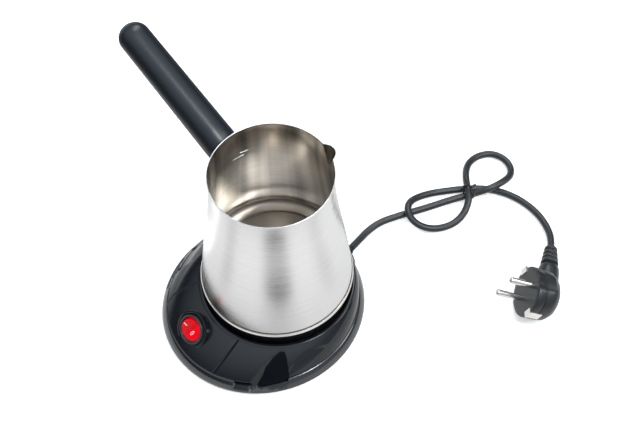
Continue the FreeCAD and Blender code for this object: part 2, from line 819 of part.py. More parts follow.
def ribbed(length, root_r, tip_r, ribs, depth):
    """A tapered round relief along +Z with grooves between its ribs."""
    body = Part.makeCone(root_r, tip_r, length)
    pitch = length / (ribs + 1)
    for i in range(ribs):
        z = pitch * (i + 0.7)
        radius = root_r + (tip_r - root_r) * z / length
        ring = Part.makeCylinder(root_r + 2, pitch * 0.4, Vector(0, 0, z))
        core = Part.makeCylinder(radius - depth, pitch * 0.4, Vector(0, 0, z))
        body = body.cut(ring.cut(core))
    return body


def make_relief():
    """Strain relief in the back of the base, with a flange that the wall traps."""
    wall_y = half_length - crest_inset
    shank = Part.makeCylinder(relief_r, relief_in + relief_nose, Vector(0, 0, -relief_in))
    flange = Part.makeCylinder(relief_r + 1.2, 2.0, Vector(0, 0, -flange_at))
    flat = Part.makeBox(20, 20, 4, Vector(-10, relief_z - foot_gap - base_wall - 0.1, -flange_at - 1))
    flange = flange.cut(flat)
    nose = ribbed(nose_length, relief_r, relief_tip_r, rib_count, rib_depth)
    nose.translate(Vector(0, 0, relief_nose))
    tip = Vector(relief_x, wall_y + relief_nose + nose_length, relief_z)
    return placed(fused([shank, flange, nose]), Vector(relief_x, wall_y, relief_z),
                  Vector(1, 0, 0), Vector(0, 1, 0)), tip


def plug_frame():
    """Middle of the plug's face, direction of the pins, and direction towards its lead."""
    azimuth = math.radians(plug_relief_azimuth)
    tilt = math.radians(plug_tilt)
    lead = Vector(math.cos(azimuth), math.sin(azimuth), 0)
    flat = UP.cross(lead)
    pins = flat * math.cos(tilt) + UP * math.sin(tilt)
    height = plug_depth * math.sin(tilt) + plug_back_r * math.cos(tilt)
    return Vector(plug_face[0], plug_face[1], height + 0.05), pins, lead


def make_plug():
    """Angled plug: round front, domed back, neck and ribbed relief, pins and earth clips."""
    face, pins_axis, lead = plug_frame()
    profile = [(0, 0), (plug_r, 0), (plug_r, -plug_depth * 0.55), (plug_back_r, -plug_depth),
               (plug_back_r - 5.0, -plug_depth - plug_dome), (0, -plug_depth - plug_dome)]
    front = Part.Face(Part.Wire(outline(profile))).revolve(Vector(0, 0, 0), UP, 360)
    for side in (-1, 1):
        notch = Part.makeBox(9, 3.2, 7.0, Vector(-4.5, side * (plug_r - 0.4) - 1.6, -6.0))
        front = front.cut(notch)
    body = placed(front, face, lead, pins_axis)
    azimuth = math.radians(plug_neck_azimuth)
    drop = math.radians(plug_relief_drop)
    level = Vector(math.cos(azimuth), math.sin(azimuth), 0)
    bend = level * math.cos(drop) - UP * math.sin(drop)
    neck_start = face - pins_axis * plug_neck_depth
    neck = Part.makeCone(plug_neck_r + 1.2, plug_neck_r - 0.6, plug_neck_length, neck_start, level)
    neck_end = neck_start + level * (plug_neck_length - 1.5)
    relief = ribbed(plug_relief_length, plug_relief_r, cord_r + 1.2, 4, 0.9)
    relief = placed(relief, neck_end, level.cross(UP), bend)
    body = fused([body, neck, relief])
    tip = neck_end + bend * plug_relief_length

    clips = []
    for side in (-1, 1):
        base = Part.makeBox(1.6, 7.0, 9.0, Vector(side * (plug_r - 0.6) - 0.8, -3.5, -9.4))
        plate = Part.makeBox(4.4, 7.0, 1.0, Vector(side * (plug_r - 1.4) - 2.2, -3.5, -0.4))
        clips.append(placed(base.fuse(plate), face, lead, pins_axis))
    body = body.cut(clips[0]).cut(clips[1])

    pins = []
    for side in (-1, 1):
        y = side * pin_spacing / 2
        pin = Part.makeCylinder(pin_r, pin_length - pin_r * 0.5, Vector(0, y, 0))
        nose = Part.makeCone(pin_r, pin_r * 0.5, pin_r * 0.5, Vector(0, y, pin_length - pin_r * 0.5))
        root = Part.makeCylinder(pin_root_r, pin_root_length, Vector(0, y, -pin_root_length))
        pins.append(placed(fused([pin, nose, root]), face, lead, pins_axis))
    for pin in pins:
        body = body.cut(pin)
    print("plug face", face, "pins along", pins_axis, "relief tip", tip, "cord heading", -bend)
    return body, pins, clips, tip


def make_cord(start, end):
    """The lead: straight runs joined by tangent arcs, from relief to relief."""
    moved = start - Vector(*route[0])
    points = [Vector(*p) for p in route] + [end]
    for i, share in enumerate((1.0, 0.75, 0.5, 0.25)):
        points[i] = points[i] + moved * share
    runs = [(b - a).Length for a, b in zip(points, points[1:])]
    edges = []
    radii = []
    here = points[0]
    for before, corner, after, run_in, run_out in zip(points, points[1:], points[2:],
                                                      runs, runs[1:]):
        arrive = (corner - before).normalize()
        leave = (after - corner).normalize()
        half_turn = arrive.getAngle(leave) / 2
        reach = 0.45 * min(run_in, run_out)
        radius = reach / math.tan(half_turn)
        radii.append(radius)
        start = corner - arrive * reach
        finish = corner + leave * reach
        inward = (leave - arrive).normalize()
        middle = corner + inward * (radius / math.cos(half_turn) - radius)
        edges.append(Part.LineSegment(here, start).toShape())
        edges.append(Part.Arc(start, middle, finish).toShape())
        here = finish
    edges.append(Part.LineSegment(here, points[-1]).toShape())
    path = Part.Wire(edges)
    circle = Part.Wire(Part.makeCircle(cord_r, points[0], points[1] - points[0]))
    tube = path.makePipeShell([circle], True, False)
    print("cord radii", " ".join("%.0f" % radius for radius in radii))
    print("cord length %.1f  runs %.1f..%.1f  volume %.1f  section times length %.1f" % (
        path.Length, min(runs), max(runs), tube.Volume, math.pi * cord_r ** 2 * path.Length))
    return tube


def make_tie():
    """Twist tie: a flat loop through the crossing with its ends twisted together."""
    centre = Vector(38.6, 182.8, 8.3)
    across = Vector(0.96, 0.28, 0).normalize()
    half = 5.5
    straight = 2.0
    wire_r = 0.7
    low_left = centre - across * half - UP * straight
    high_left = centre - across * half + UP * straight
    low_right = centre + across * half - UP * straight
    high_right = centre + across * half + UP * straight
    top = centre + UP * (straight + half)
    bottom = centre - UP * (straight + half)
    path = Part.Wire([Part.Arc(high_left, top, high_right).toShape(),
                      Part.makeLine(high_right, low_right),
                      Part.Arc(low_right, bottom, low_left).toShape(),
                      Part.makeLine(low_left, high_left)])
    ring = path.makePipeShell([Part.Wire(Part.makeCircle(wire_r, high_left, UP))], True, False)
    tails = [cylinder(wire_r, top, (UP + across * side * 0.5).normalize(), 9) for side in (-1, 1)]
    return ring.multiFuse(tails)


os.makedirs("parts", exist_ok=True)

save("pot_shell", make_pot_shell())
save("pot_floor", make_pot_floor())
save("trim_ring", make_trim_ring())
save("pot_skirt", make_skirt())
spreader, element, thermostat = make_heater()
save("heat_spreader", spreader)
save("heating_element", element)
save("thermostat", thermostat)
studs, skirt_screws = make_studs()
save("floor_studs", studs)
save("skirt_screws", skirt_screws)
upper_block, upper_contacts = make_upper_connector()
save("upper_connector", upper_block)
save("upper_contacts", upper_contacts)
handle, bracket, handle_screw = make_handle()
save("handle", handle)
save("handle_bracket", bracket)
save("handle_screw", handle_screw)

save("base_housing", make_housing())
save("base_tray", make_tray())
feet, base_screws = make_base_fasteners()
save("feet", feet)
save("base_screws", base_screws)
lower_block, lower_contacts, connector_screws = make_lower_connector()
save("lower_connector", lower_block)
save("lower_contacts", lower_contacts)
save("connector_screws", connector_screws)
switch_body, rocker, lamp, tabs = make_switch()
save("switch_body", switch_body)
save("rocker", rocker)
save("neon_lamp", lamp)
save("switch_terminals", tabs)

relief, cord_start = make_relief()
save("cord_relief", relief)
plug_body, plug_pins, earth_clips, cord_end = make_plug()
save("plug_body", plug_body)
save("plug_pins", plug_pins)
save("plug_earth_clips", earth_clips)
save("cord", make_cord(cord_start, cord_end))
save("twist_tie", make_tie())
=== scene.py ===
import math

import bmesh
import bpy
import numpy as np
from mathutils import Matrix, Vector


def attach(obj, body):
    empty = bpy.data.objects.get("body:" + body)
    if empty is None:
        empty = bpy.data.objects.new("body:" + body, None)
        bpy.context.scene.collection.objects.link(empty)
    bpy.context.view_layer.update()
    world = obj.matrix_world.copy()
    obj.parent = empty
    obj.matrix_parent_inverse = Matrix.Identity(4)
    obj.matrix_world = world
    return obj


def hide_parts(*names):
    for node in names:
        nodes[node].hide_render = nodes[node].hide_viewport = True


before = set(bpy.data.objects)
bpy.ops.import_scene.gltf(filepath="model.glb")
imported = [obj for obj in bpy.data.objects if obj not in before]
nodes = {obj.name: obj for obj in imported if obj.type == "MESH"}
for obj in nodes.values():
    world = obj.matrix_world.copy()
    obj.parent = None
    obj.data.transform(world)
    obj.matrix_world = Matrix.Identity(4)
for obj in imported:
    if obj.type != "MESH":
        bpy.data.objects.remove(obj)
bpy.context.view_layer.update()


# Studio. A white table in a white tent, lit by soft lights above, behind and at the sides. What the
# gloss and the steel mirror is set on its own: a bright roof, a low glow on the left, and a table
# that is palest in a wide ring, with painted shade near the base, painted dark patches and a painted
# bright strip left of the base. The table keeps a faint shadow.
camera_data = bpy.data.cameras.new("camera")
camera_data.lens = 59.06
camera_data.sensor_width = 36.0
camera = bpy.data.objects.new("camera", camera_data)
camera.location = (0.36305, -0.17559, 0.6782)
camera.rotation_euler = (math.radians(33.91), 0.0, math.radians(56.0))
bpy.context.scene.collection.objects.link(camera)
bpy.context.scene.camera = camera
bpy.context.scene.view_settings.view_transform = "Standard"


class Value:
    """An output of a node, used in expressions that add their own Math nodes."""

    def __init__(self, tree, socket):
        self.tree = tree
        self.socket = socket

    def math(self, operation, *others):
        node = self.tree.nodes.new("ShaderNodeMath")
        node.operation = operation
        for slot, item in zip(node.inputs, others):
            if isinstance(item, Value):
                self.tree.links.new(item.socket, slot)
            else:
                slot.default_value = item
        return Value(self.tree, node.outputs[0])

    def __add__(self, other):
        return self.math("ADD", self, other)

    def __radd__(self, other):
        return self.math("ADD", other, self)

    def __sub__(self, other):
        return self.math("SUBTRACT", self, other)

    def __rsub__(self, other):
        return self.math("SUBTRACT", other, self)

    def __mul__(self, other):
        return self.math("MULTIPLY", self, other)

    def __rmul__(self, other):
        return self.math("MULTIPLY", other, self)

    def __gt__(self, other):
        return self.math("GREATER_THAN", self, other)

    def __lt__(self, other):
        return self.math("LESS_THAN", self, other)

    def at_least(self, low):
        return self.math("MAXIMUM", self, low)

    def at_most(self, high):
        return self.math("MINIMUM", self, high)

    def power(self, exponent):
        return self.math("POWER", self, exponent)


class Nodes:
    """A node tree whose nodes are added by type, with their settings and then their sockets."""

    def __init__(self, tree):
        self.tree = tree

    def node(self, kind, settings=(), **sockets):
        node = self.tree.nodes.new(kind)
        for key, item in dict(settings).items():
            if key == "stops":
                self.set_stops(node.color_ramp.elements, item)
            else:
                setattr(node, key, item)
        self.fill(node, sockets)
        return node

    def set_stops(self, elements, stops):
        """Colours along a ramp, which starts with two elements of its own."""
        for element, (position, colour) in ((elements[0], stops[0]), (elements[1], stops[-1])):
            element.position = position
            element.color = (*colour, 1.0)
        for position, colour in stops[1:-1]:
            elements.new(position).color = (*colour, 1.0)

    def fill(self, node, sockets):
        """Set or link sockets by name, with _ for a space, or by number, as in n0."""
        for key, item in sockets.items():
            numbered = key[0] == "n" and key[1:].isdigit()
            slot = node.inputs[int(key[1:]) if numbered else key.replace("_", " ")]
            if isinstance(item, Value):
                self.tree.links.new(item.socket, slot)
            elif isinstance(item, bpy.types.Node):
                self.tree.links.new(item.outputs[0], slot)
            elif isinstance(item, tuple) and len(item) == 3 and slot.type == "RGBA":
                slot.default_value = (*item, 1.0)
            else:
                slot.default_value = item

    def value(self, node, output=0):
        return Value(self.tree, node.outputs[output])


class Finish(Nodes):
    """A material with one main shader."""

    def __init__(self, name, **sockets):
        self.material = bpy.data.materials.new(name)
        self.material.use_nodes = True
        super().__init__(self.material.node_tree)
        self.tree.nodes.clear()
        self.shader = self.node("ShaderNodeBsdfPrincipled")
        self.end = self.node("ShaderNodeOutputMaterial", Surface=self.shader)
        self.set(**sockets)

    def set(self, **sockets):
        self.fill(self.shader, sockets)
        return self

    def place(self, scale=(1.0, 1.0, 1.0), turn=(0.0, 0.0, 0.0), uv=False, centre=None):
        """Object or UV coordinates, stretched by scale, or measured from a centre in its sizes."""
        where = self.value(self.node("ShaderNodeTexCoord"), "UV" if uv else "Object")
        if centre is None:
            return self.node("ShaderNodeMapping", Vector=where, Scale=scale, Rotation=turn)
        return self.node("ShaderNodeMapping", {"vector_type": "TEXTURE"}, Vector=where,
                         Location=centre, Scale=scale, Rotation=turn)

    def noise(self, scale, stretch=(1.0, 1.0, 1.0), detail=3.0, uv=False):
        spot = self.place(stretch, uv=uv)
        grain = self.node("ShaderNodeTexNoise", Vector=spot, Scale=scale, Detail=detail)
        return self.value(grain, 0)

    def ramp(self, factor, *stops):
        return self.node("ShaderNodeValToRGB", {"stops": stops}, Fac=factor)

    def bump(self, height, strength, distance):
        return self.node("ShaderNodeBump", Strength=strength, Distance=distance, Height=height)


floor_half = 6.0
floor_mesh = bpy.data.meshes.new("floor")
floor_mesh.from_pydata([(x * floor_half, y * floor_half, 0.0)
                        for x, y in ((-1, -1), (1, -1), (1, 1), (-1, 1))], [], [(0, 1, 2, 3)])
floor = bpy.data.objects.new("floor", floor_mesh)
bpy.context.scene.collection.objects.link(floor)
floor_white = Finish("table_white", Base_Color=(0.93, 0.93, 0.93), Roughness=0.6)
floor_white.set(Specular_IOR_Level=0.2)
floor_rays = floor_white.node("ShaderNodeLightPath")


def floor_spot(centre, size, turn):
    """A soft round patch on the table, 1 in its middle and 0 at its edge."""
    where = floor_white.place((*size, 1.0), (0.0, 0.0, math.radians(turn)), centre=(*centre, 0.0))
    round_patch = floor_white.node("ShaderNodeTexGradient", {"gradient_type": "SPHERICAL"}, Vector=where)
    return floor_white.value(round_patch, 1)


# The table as the gloss mirrors it: painted shade near the base and in dark patches, and a painted bright
# strip left of the base that the tray's flare shows as a painted highlight.
mirrored_shade_turn = -29.4
floor_level = 0.2
# Each patch has a strength, a middle and half sizes in metres, and a turn in degrees.
for strength, centre, size, turn in (
        (1.9, (0.029, 0.0), (0.5, 0.5), 0.0),
        (-1.5, (0.029, 0.0), (0.26, 0.26), 0.0),
        (-0.24, (0.128, -0.045), (0.075, 0.05), mirrored_shade_turn),
        (-0.35, (0.011, -0.129), (0.03, 0.045), 0.0),
        (-0.25, (0.148, 0.092), (0.05, 0.04), 0.0),
        (1.5, (-0.062, -0.035), (0.014, 0.07), 8.0)):
    floor_level = floor_level + strength * floor_spot(centre, size, turn)
# A painted dark patch on the mirrored table, which the pot's wall shows as a painted dark reflection.
mirrored_shade_patch = 2.4 * floor_spot((0.157, -0.060), (0.026, 0.060), mirrored_shade_turn)
floor_level = floor_level - 0.62 * mirrored_shade_patch.at_most(1.0)
floor_mirrored = floor_white.node("ShaderNodeEmission", Color=(0.97, 0.985, 1.0),
                                  Strength=1.15 * floor_level)
floor_glow = floor_white.node("ShaderNodeEmission", Color=(1.0, 1.0, 1.0),
                              Strength=0.42 * floor_white.value(floor_rays, "Is Camera Ray"))
floor_both = floor_white.node("ShaderNodeAddShader", n0=floor_white.shader, n1=floor_glow)
floor_seen = floor_white.node("ShaderNodeMixShader", n0=floor_white.value(floor_rays, "Is Glossy Ray"),
                              n1=floor_both, n2=floor_mirrored)
floor_white.fill(floor_white.end, {"Surface": floor_seen})
floor_mesh.materials.append(floor_white.material)

world = bpy.data.worlds.new("tent")
bpy.context.scene.world = world
world.use_nodes = True
world.node_tree.nodes.clear()
tent = Nodes(world.node_tree)
tent_rays = tent.node("ShaderNodeLightPath")
tent_glossy = tent.value(tent_rays, "Is Glossy Ray")
tent_way = tent.node("ShaderNodeSeparateXYZ", n0=tent.value(tent.node("ShaderNodeTexCoord"), "Generated"))
tent_height = tent.value(tent_way, "Z")
tent_east = tent.value(tent_way, "X")
tent_right = tent_east.at_least(0.0)
tent_low_left = (1.0 - 6.0 * tent_height).at_least(0.0) * (-1.0 * tent_east).at_least(0.0).power(8.0)
tent_roof = (1.6 * (tent_height - 0.3)).at_least(0.0).at_most(1.0)
tent_shine = 0.06 + 4.0 * tent_low_left + 1.15 * tent_roof + 0.5 * tent_right * tent_right
tent_light = tent.node("ShaderNodeBackground", Color=(0.82, 0.91, 1.0),
                       Strength=0.42 * (1.0 - tent_glossy) + tent_shine * tent_glossy)
tent_white = tent.node("ShaderNodeBackground", Color=(1.0, 1.0, 1.0))
tent_seen = tent.node("ShaderNodeMixShader", n0=tent.value(tent_rays, "Is Camera Ray"), n1=tent_light,
                      n2=tent_white)
tent.node("ShaderNodeOutputWorld", Surface=tent_seen)


def soft_light(name, place, towards, size, power, tint=(1.0, 1.0, 1.0), mirrored=True):
    data = bpy.data.lights.new(name, "AREA")
    data.shape = "RECTANGLE"
    data.size = size[0]
    data.size_y = size[1]
    data.energy = power
    data.color = tint
    light = bpy.data.objects.new(name, data)
    light.location = place
    light.rotation_euler = (Vector(towards) - Vector(place)).to_track_quat("-Z", "Y").to_euler()
    light.visible_glossy = mirrored
    bpy.context.scene.collection.objects.link(light)


soft_light("light_above", (0.22, -0.06, 1.35), (0.03, 0.02, 0.1), (0.34, 0.5), 4.0, (0.95, 0.97, 1.0),
           mirrored=False)
soft_light("light_panel", (0.66, 0.26, 1.2), (0.03, 0.02, 0.1), (0.2, 0.5), 7.0, (0.90, 0.96, 1.0))
soft_light("light_back", (-0.55, 0.55, 1.1), (0.03, 0.02, 0.1), (0.4, 0.9), 6.0)
soft_light("light_right", (0.75, 0.95, 0.85), (0.03, 0.05, 0.05), (0.45, 0.8), 5.0)
soft_light("light_left", (-0.95, -0.45, 0.75), (0.03, 0.0, 0.05), (0.6, 0.5), 6.0, (0.93, 0.96, 1.0),
           mirrored=False)


# Mains lead. Black PVC sheath with a soft shine, round, 5.4 mm thick, from the back of the base
# through one figure-of-eight fold to the plug. It is seen from end to end.
def moulded(name, tint, roughness, grain, dent, depth=0.0001, cloud=0.0, cloud_grain=1.0):
    """A moulded surface with a fine grain, and a cloudy shine where cloud isn't 0."""
    made = Finish(name, Base_Color=tint, Roughness=roughness)
    if cloud > 0.0:
        made.set(Roughness=roughness + cloud * made.noise(cloud_grain))
    return made.set(Normal=made.bump(made.noise(grain), dent, depth))


lead_r = 0.0027
lead_points = [
    (30.0, 76.8, 8.0), (26.0, 87.0, 5.2), (21.6, 98.5, 3.0), (20.2, 111.5, 2.7),
    (23.0, 125.0, 2.7), (26.6, 138.0, 2.7), (30.1, 151.2, 2.7), (33.0, 164.2, 2.7),
    (36.5, 177.0, 2.9), (41.0, 188.2, 4.6), (46.2, 199.0, 9.2), (46.5, 210.8, 8.6),
    (43.5, 222.3, 5.0), (35.3, 229.1, 3.0), (24.9, 229.6, 2.7), (16.1, 224.0, 2.7),
    (12.4, 214.2, 2.7), (14.0, 203.5, 3.8), (20.8, 194.2, 7.0), (31.6, 186.0, 9.8),
    (43.2, 180.2, 9.8), (50.6, 170.8, 5.0), (53.3, 159.2, 2.7), (51.5, 147.6, 2.8),
    (46.2, 137.4, 4.2), (38.2, 131.0, 7.2), (28.2, 131.2, 9.3), (20.8, 137.8, 8.6),
    (18.8, 148.8, 5.0), (20.6, 160.4, 2.9), (25.4, 171.6, 2.7), (30.6, 182.2, 2.7),
    (36.8, 193.0, 2.7), (45.2, 203.0, 2.7), (56.3, 210.9, 2.7), (69.4, 215.7, 2.7),
    (83.2, 217.2, 2.8), (96.4, 214.2, 4.2), (107.0, 208.6, 6.8), (114.6, 200.9, 9.35),
]
lead_curve = bpy.data.curves.new("lead", "CURVE")
lead_curve.dimensions = "3D"
lead_spline = lead_curve.splines.new("NURBS")
lead_spline.points.add(len(lead_points) - 1)
for knot, (x, y, z) in zip(lead_spline.points, lead_points):
    knot.co = (x / 1000, y / 1000, z / 1000, 1.0)
lead_spline.order_u = 3
lead_spline.use_endpoint_u = True
lead_spline.resolution_u = 10
lead_curve.bevel_depth = lead_r
lead_curve.bevel_resolution = 6
sheath = moulded("pvc_sheath", (0.016, 0.017, 0.019), 0.36, 900.0, 0.12, 0.00012)
lead_curve.materials.append(sheath.material)
lead = bpy.data.objects.new("lead", lead_curve)
bpy.context.scene.collection.objects.link(lead)
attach(lead, "base")
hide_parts("cord")


# Lower tray of the base. Gloss black moulding with a flared rim that meets the top cover in a
# parting line; the flare is cut back beside the two side pockets of the cover.
pot_axis = np.array([29.0, 13.0])
oval_y = -13.0
half_length = 75.0
half_width = 71.8


def piece(name, mesh, body, slot, *replaced, finish=None):
    """An object at the origin that rides on a body and stands for CAD nodes."""
    made = bpy.data.objects.new(name, mesh)
    bpy.context.scene.collection.objects.link(made)
    if finish is not None:
        mesh.materials.clear()
        mesh.materials.append(finish.material)
    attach(made, body)
    if replaced:
        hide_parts(*replaced)
    return made


def skin(name, rows, wrap=True, close_rows=False, sharp=35.0, ends=(False, False)):
    """A mesh over rows of points in millimetres, each row running round the piece."""
    rows = [np.asarray(row, dtype=float) for row in rows]
    count = len(rows[0])
    points = np.vstack(rows) / 1000.0
    faces = []
    steps = len(rows) if close_rows else len(rows) - 1
    for i in range(steps):
        low = i * count
        high = ((i + 1) % len(rows)) * count
        for j in range(count if wrap else count - 1):
            k = (j + 1) % count
            faces.append((low + j, low + k, high + k, high + j))
    if ends[0]:
        faces.append(tuple(range(count - 1, -1, -1)))
    if ends[1]:
        faces.append(tuple(range(len(points) - count, len(points))))
    mesh = bpy.data.meshes.new(name)
    mesh.from_pydata(points.tolist(), [], faces)
    mesh.update()
    mesh.shade_smooth()
    mesh.set_sharp_from_angle(angle=math.radians(sharp))
    return mesh


def tidy_normals(mesh):
    """Merge doubled points and turn every face outwards."""
    work = bmesh.new()
    work.from_mesh(mesh)
    bmesh.ops.remove_doubles(work, verts=work.verts, dist=0.000002)
    bmesh.ops.recalc_face_normals(work, faces=work.faces)
    work.to_mesh(mesh)
    work.free()
    mesh.update()


def oval_radius(azimuth, inset):
    """Distance from the pot's axis to the base's oval outline, moved inwards."""
    a = half_width - inset
    b = half_length - inset
    c = np.cos(azimuth)
    s = np.sin(azimuth)
    k = (c / a) ** 2 + (s / b) ** 2
    m = -s * oval_y / b ** 2
    n = (oval_y / b) ** 2 - 1.0
    return (-m + np.sqrt(m * m - k * n)) / k


def plan(radius, azimuth):
    return pot_axis[0] + radius * np.cos(azimuth), pot_axis[1] + radius * np.sin(azimuth)


def smooth(value, low, high):
    t = np.clip((value - low) / (high - low), 0.0, 1.0)
    return t * t * (3.0 - 2.0 * t)


def folded(azimuth):
    """The azimuth of the same spot on the right half of the base."""
    turned = np.mod(azimuth - math.pi / 2, 2 * math.pi)
    right = turned >= math.pi
    return np.where(right, azimuth, math.pi - azimuth)


pocket_r = (57.3, 61.6, 66.9, 70.9, 75.3, 80.0)
pocket_from = (330.5, 323.0, 318.0, 316.0, 313.2, 311.8)
pocket_to = (331.5, 332.4, 333.4, 333.2, 331.5, 330.0)
pocket_wall = (0.3, 1.2, 2.2, 3.1, 4.0, 4.4)
pocket_down = (0.0, 1.4, 2.9, 3.9, 4.8, 5.2)


def side_degrees(azimuth):
    """Azimuth in degrees from 270 at the front to 450 at the back, the same on both sides."""
    side = np.degrees(folded(azimuth))
    return np.where(side < 180.0, side + 360.0, side)


def pocket_cut(radius, azimuth, z):
    """The surface after the slanted pocket has been taken out of it."""
    side = side_degrees(azimuth)
    start = np.interp(radius, pocket_r, pocket_from)
    end = np.interp(radius, pocket_r, pocket_to)
    wall_turn = np.degrees(np.interp(radius, pocket_r, pocket_wall) / radius)
    deep = np.interp(radius, pocket_r, pocket_down)
    down = np.clip((side - start) / wall_turn, 0.0, 1.0)
    rise = np.clip((side - start - wall_turn) / (end - start - wall_turn), 0.0, 1.0)
    share = down * (1.0 - 0.72 * rise) * (1.0 - smooth(side, end, end + 0.35))
    return np.maximum(z - deep * share, np.minimum(z, 3.4))


def flare_notch(azimuth, z):
    """How far the flare is cut back beside the pocket, under the edge of the cover."""
    side = side_degrees(azimuth)
    return 2.4 * (smooth(side, 304.6, 305.1) - smooth(side, 313.2, 313.8)) * smooth(z, 4.0, 6.5)


around = np.unique(np.radians(np.concatenate([
    np.linspace(15.0, 195.0, 110, endpoint=False), np.linspace(195.0, 375.0, 400, endpoint=False),
    np.linspace(205.0, 229.0, 70), np.linspace(239.1, 248.1, 60), np.linspace(291.1, 300.1, 70),
    np.linspace(311.1, 335.1, 90)])))
tray_rows = []
for inset, z in ((40.0, 1.6), (6.0, 1.6), (0.9, 1.6), (0.25, 1.85), (0.0, 2.4), (0.25, 3.4), (0.8, 4.8),
                 (1.6, 6.3), (2.6, 7.7), (3.7, 8.9), (4.2, 9.3), (4.55, 9.35), (4.75, 9.0),
                 (6.7, 9.0), (6.7, 4.0), (40.0, 4.0)):
    radius = oval_radius(around, inset)
    height = np.full_like(around, z)
    if z > 2.0 and inset < 7.0:
        height = pocket_cut(radius, around, height - flare_notch(around, height))
        if inset > 4.0:
            height = height - 0.9 * smooth(z - height, 0.6, 1.2)
    x, y = plan(radius, around)
    tray_rows.append(np.stack([x, y, height], axis=1))
tray_mesh = skin("tray", tray_rows, close_rows=True)
tidy_normals(tray_mesh)


def gloss_black(name, tint, roughness, wave):
    """Moulded gloss plastic: nearly black, faint flow marks, light dust in the shine."""
    made = Finish(name, Base_Color=tint, Roughness=roughness, Specular_IOR_Level=0.5, IOR=1.5)
    cloud = made.noise(38.0, detail=2.0)
    specks = made.noise(950.0, detail=2.0)
    made.set(Roughness=roughness + 0.05 * cloud + 0.08 * (specks > 0.72),
             Normal=made.bump(cloud, wave, 0.0008))
    return made


housing_black = gloss_black("abs_gloss_black", (0.0075, 0.0085, 0.011), 0.13, 0.10)
tray_black = gloss_black("abs_tray_black", (0.009, 0.010, 0.012), 0.17, 0.08)
tray_black.set(Coat_Weight=1.0, Coat_Roughness=0.12, Coat_IOR=1.6)
piece("tray", tray_mesh, "base", "black_gloss", "base_tray", finish=tray_black)


# Hood over the place where the lead leaves. Moulded on the tray, a low round hump with a hole
# for the strain relief.
lead_x = 30.0
lead_z = 8.0
hood_r = 11.0
hood_z = 2.0
hood_front = 74.4
hood_turns = np.linspace(math.radians(-2.0), math.radians(182.0), 48)
hood_rows = []
for y, shrink in ((64.0, 0.0), (72.6, 0.0), (73.6, 0.12), (74.15, 0.4), (74.4, 0.9)):
    hood_rows.append([(lead_x + (hood_r - shrink) * math.cos(t), y,
                       hood_z + (hood_r - shrink) * math.sin(t)) for t in hood_turns])
for y, hole_r in ((hood_front, 5.1), (hood_front - 0.2, 4.72), (72.0, 4.7)):
    row = []
    for t in hood_turns:
        facing = math.atan2(hood_z + hood_r * math.sin(t) - lead_z, hood_r * math.cos(t))
        row.append((lead_x + hole_r * math.cos(facing), y, lead_z + hole_r * math.sin(facing)))
    hood_rows.append(row)
piece("lead_hood", skin("lead_hood", hood_rows, wrap=False), "base", "black_gloss",
      finish=tray_black)


# Top cover of the base. Gloss black moulding: the round recess for the pot with its raised lip,
# a front panel between two grooves, slanted side pockets and leaf-shaped insets.
crest_z = 9.5
crest_inset = 4.5
lip_r = 56.2
lip_z = 25.0
crown = 1.2


def cover_profile(azimuth, share):
    """Radius and height of the cover from its lip (share 0) to its crest (share 1)."""
    crest = oval_radius(azimuth, crest_inset)
    middle_share = 0.5
    middle_r = (crest + lip_r) / 2 + crown
    middle_z = (crest_z + lip_z) / 2 + crown
    l0 = 2 * (share - middle_share) * (share - 1.0)
    l1 = -4 * share * (share - 1.0)
    l2 = 2 * share * (share - middle_share)
    return lip_r * l0 + middle_r * l1 + crest * l2, lip_z * l0 + middle_z * l1 + crest_z * l2


groove_r = (56.6, 63.0, 69.0, 75.5, 79.5, 82.0)
groove_from = (298.0, 296.5, 295.0, 293.6, 292.7, 292.1)
groove_to = (299.1, 298.0, 296.9, 295.5, 294.5, 294.0)
curved_groove = (240.5, 240.3, 240.7, 242.2, 244.3, 246.6)
leaf_turn = (329.8, 333.8, 337.8, 342.8, 350.2, 359.2, 370.2)
leaf_line = np.polyfit(np.array(leaf_turn) - 350.0, (73.3, 68.7, 65.1, 62.1, 60.9, 61.9, 64.1), 4)


def cover_details(radius, azimuth, z):
    """Grooves and leaf insets let into the cover."""
    turn = np.degrees(np.mod(azimuth, 2 * math.pi))
    start = np.interp(radius, groove_r, groove_from)
    share = (turn - start) / (np.interp(radius, groove_r, groove_to) - start)
    z = z - 0.95 * np.clip(np.minimum(share / 0.3, (1.0 - share) / 0.7), 0.0, 1.0)
    beside = np.abs(turn - np.interp(radius, groove_r, curved_groove)) * np.radians(radius)
    z = z - 0.6 * np.clip(1.0 - beside / 0.75, 0.0, 1.0)
    side = side_degrees(azimuth)
    inwards = radius - np.polyval(leaf_line, side - 350.0)
    span = smooth(side, 329.9, 330.6) * (1.0 - smooth(side, 369.6, 370.4))
    rim = 1.0 - smooth(np.abs(inwards), 0.15, 0.6)
    return z - span * (0.6 * smooth(inwards, 0.0, 0.6) + 0.3 * rim)


cover_rows = []
for r, z in ((16.0, 13.8), (16.0, 15.8), (16.2, 16.0), (30.0, 16.0), (52.6, 16.0), (53.2, 16.15),
             (53.5, 16.6), (53.5, 21.0), (53.5, 25.1), (53.62, 25.45), (54.0, 25.62), (54.8, 25.66),
             (55.6, 25.6), (56.1, 25.4)):
    x, y = plan(np.full_like(around, r), around)
    cover_rows.append(np.stack([x, y, np.full_like(around, z)], axis=1))
for share in np.linspace(0.02, 0.985, 84):
    radius, height = cover_profile(around, share)
    height = pocket_cut(radius, around, cover_details(radius, around, height))
    x, y = plan(radius, around)
    cover_rows.append(np.stack([x, y, height], axis=1))
for inset, z in ((4.5, 9.75), (4.62, 9.56), (4.9, 9.5), (6.4, 9.4), (8.6, 11.4)):
    radius = oval_radius(around, inset)
    height = pocket_cut(radius, around, np.full_like(around, z))
    x, y = plan(radius, around)
    cover_rows.append(np.stack([x, y, height], axis=1))
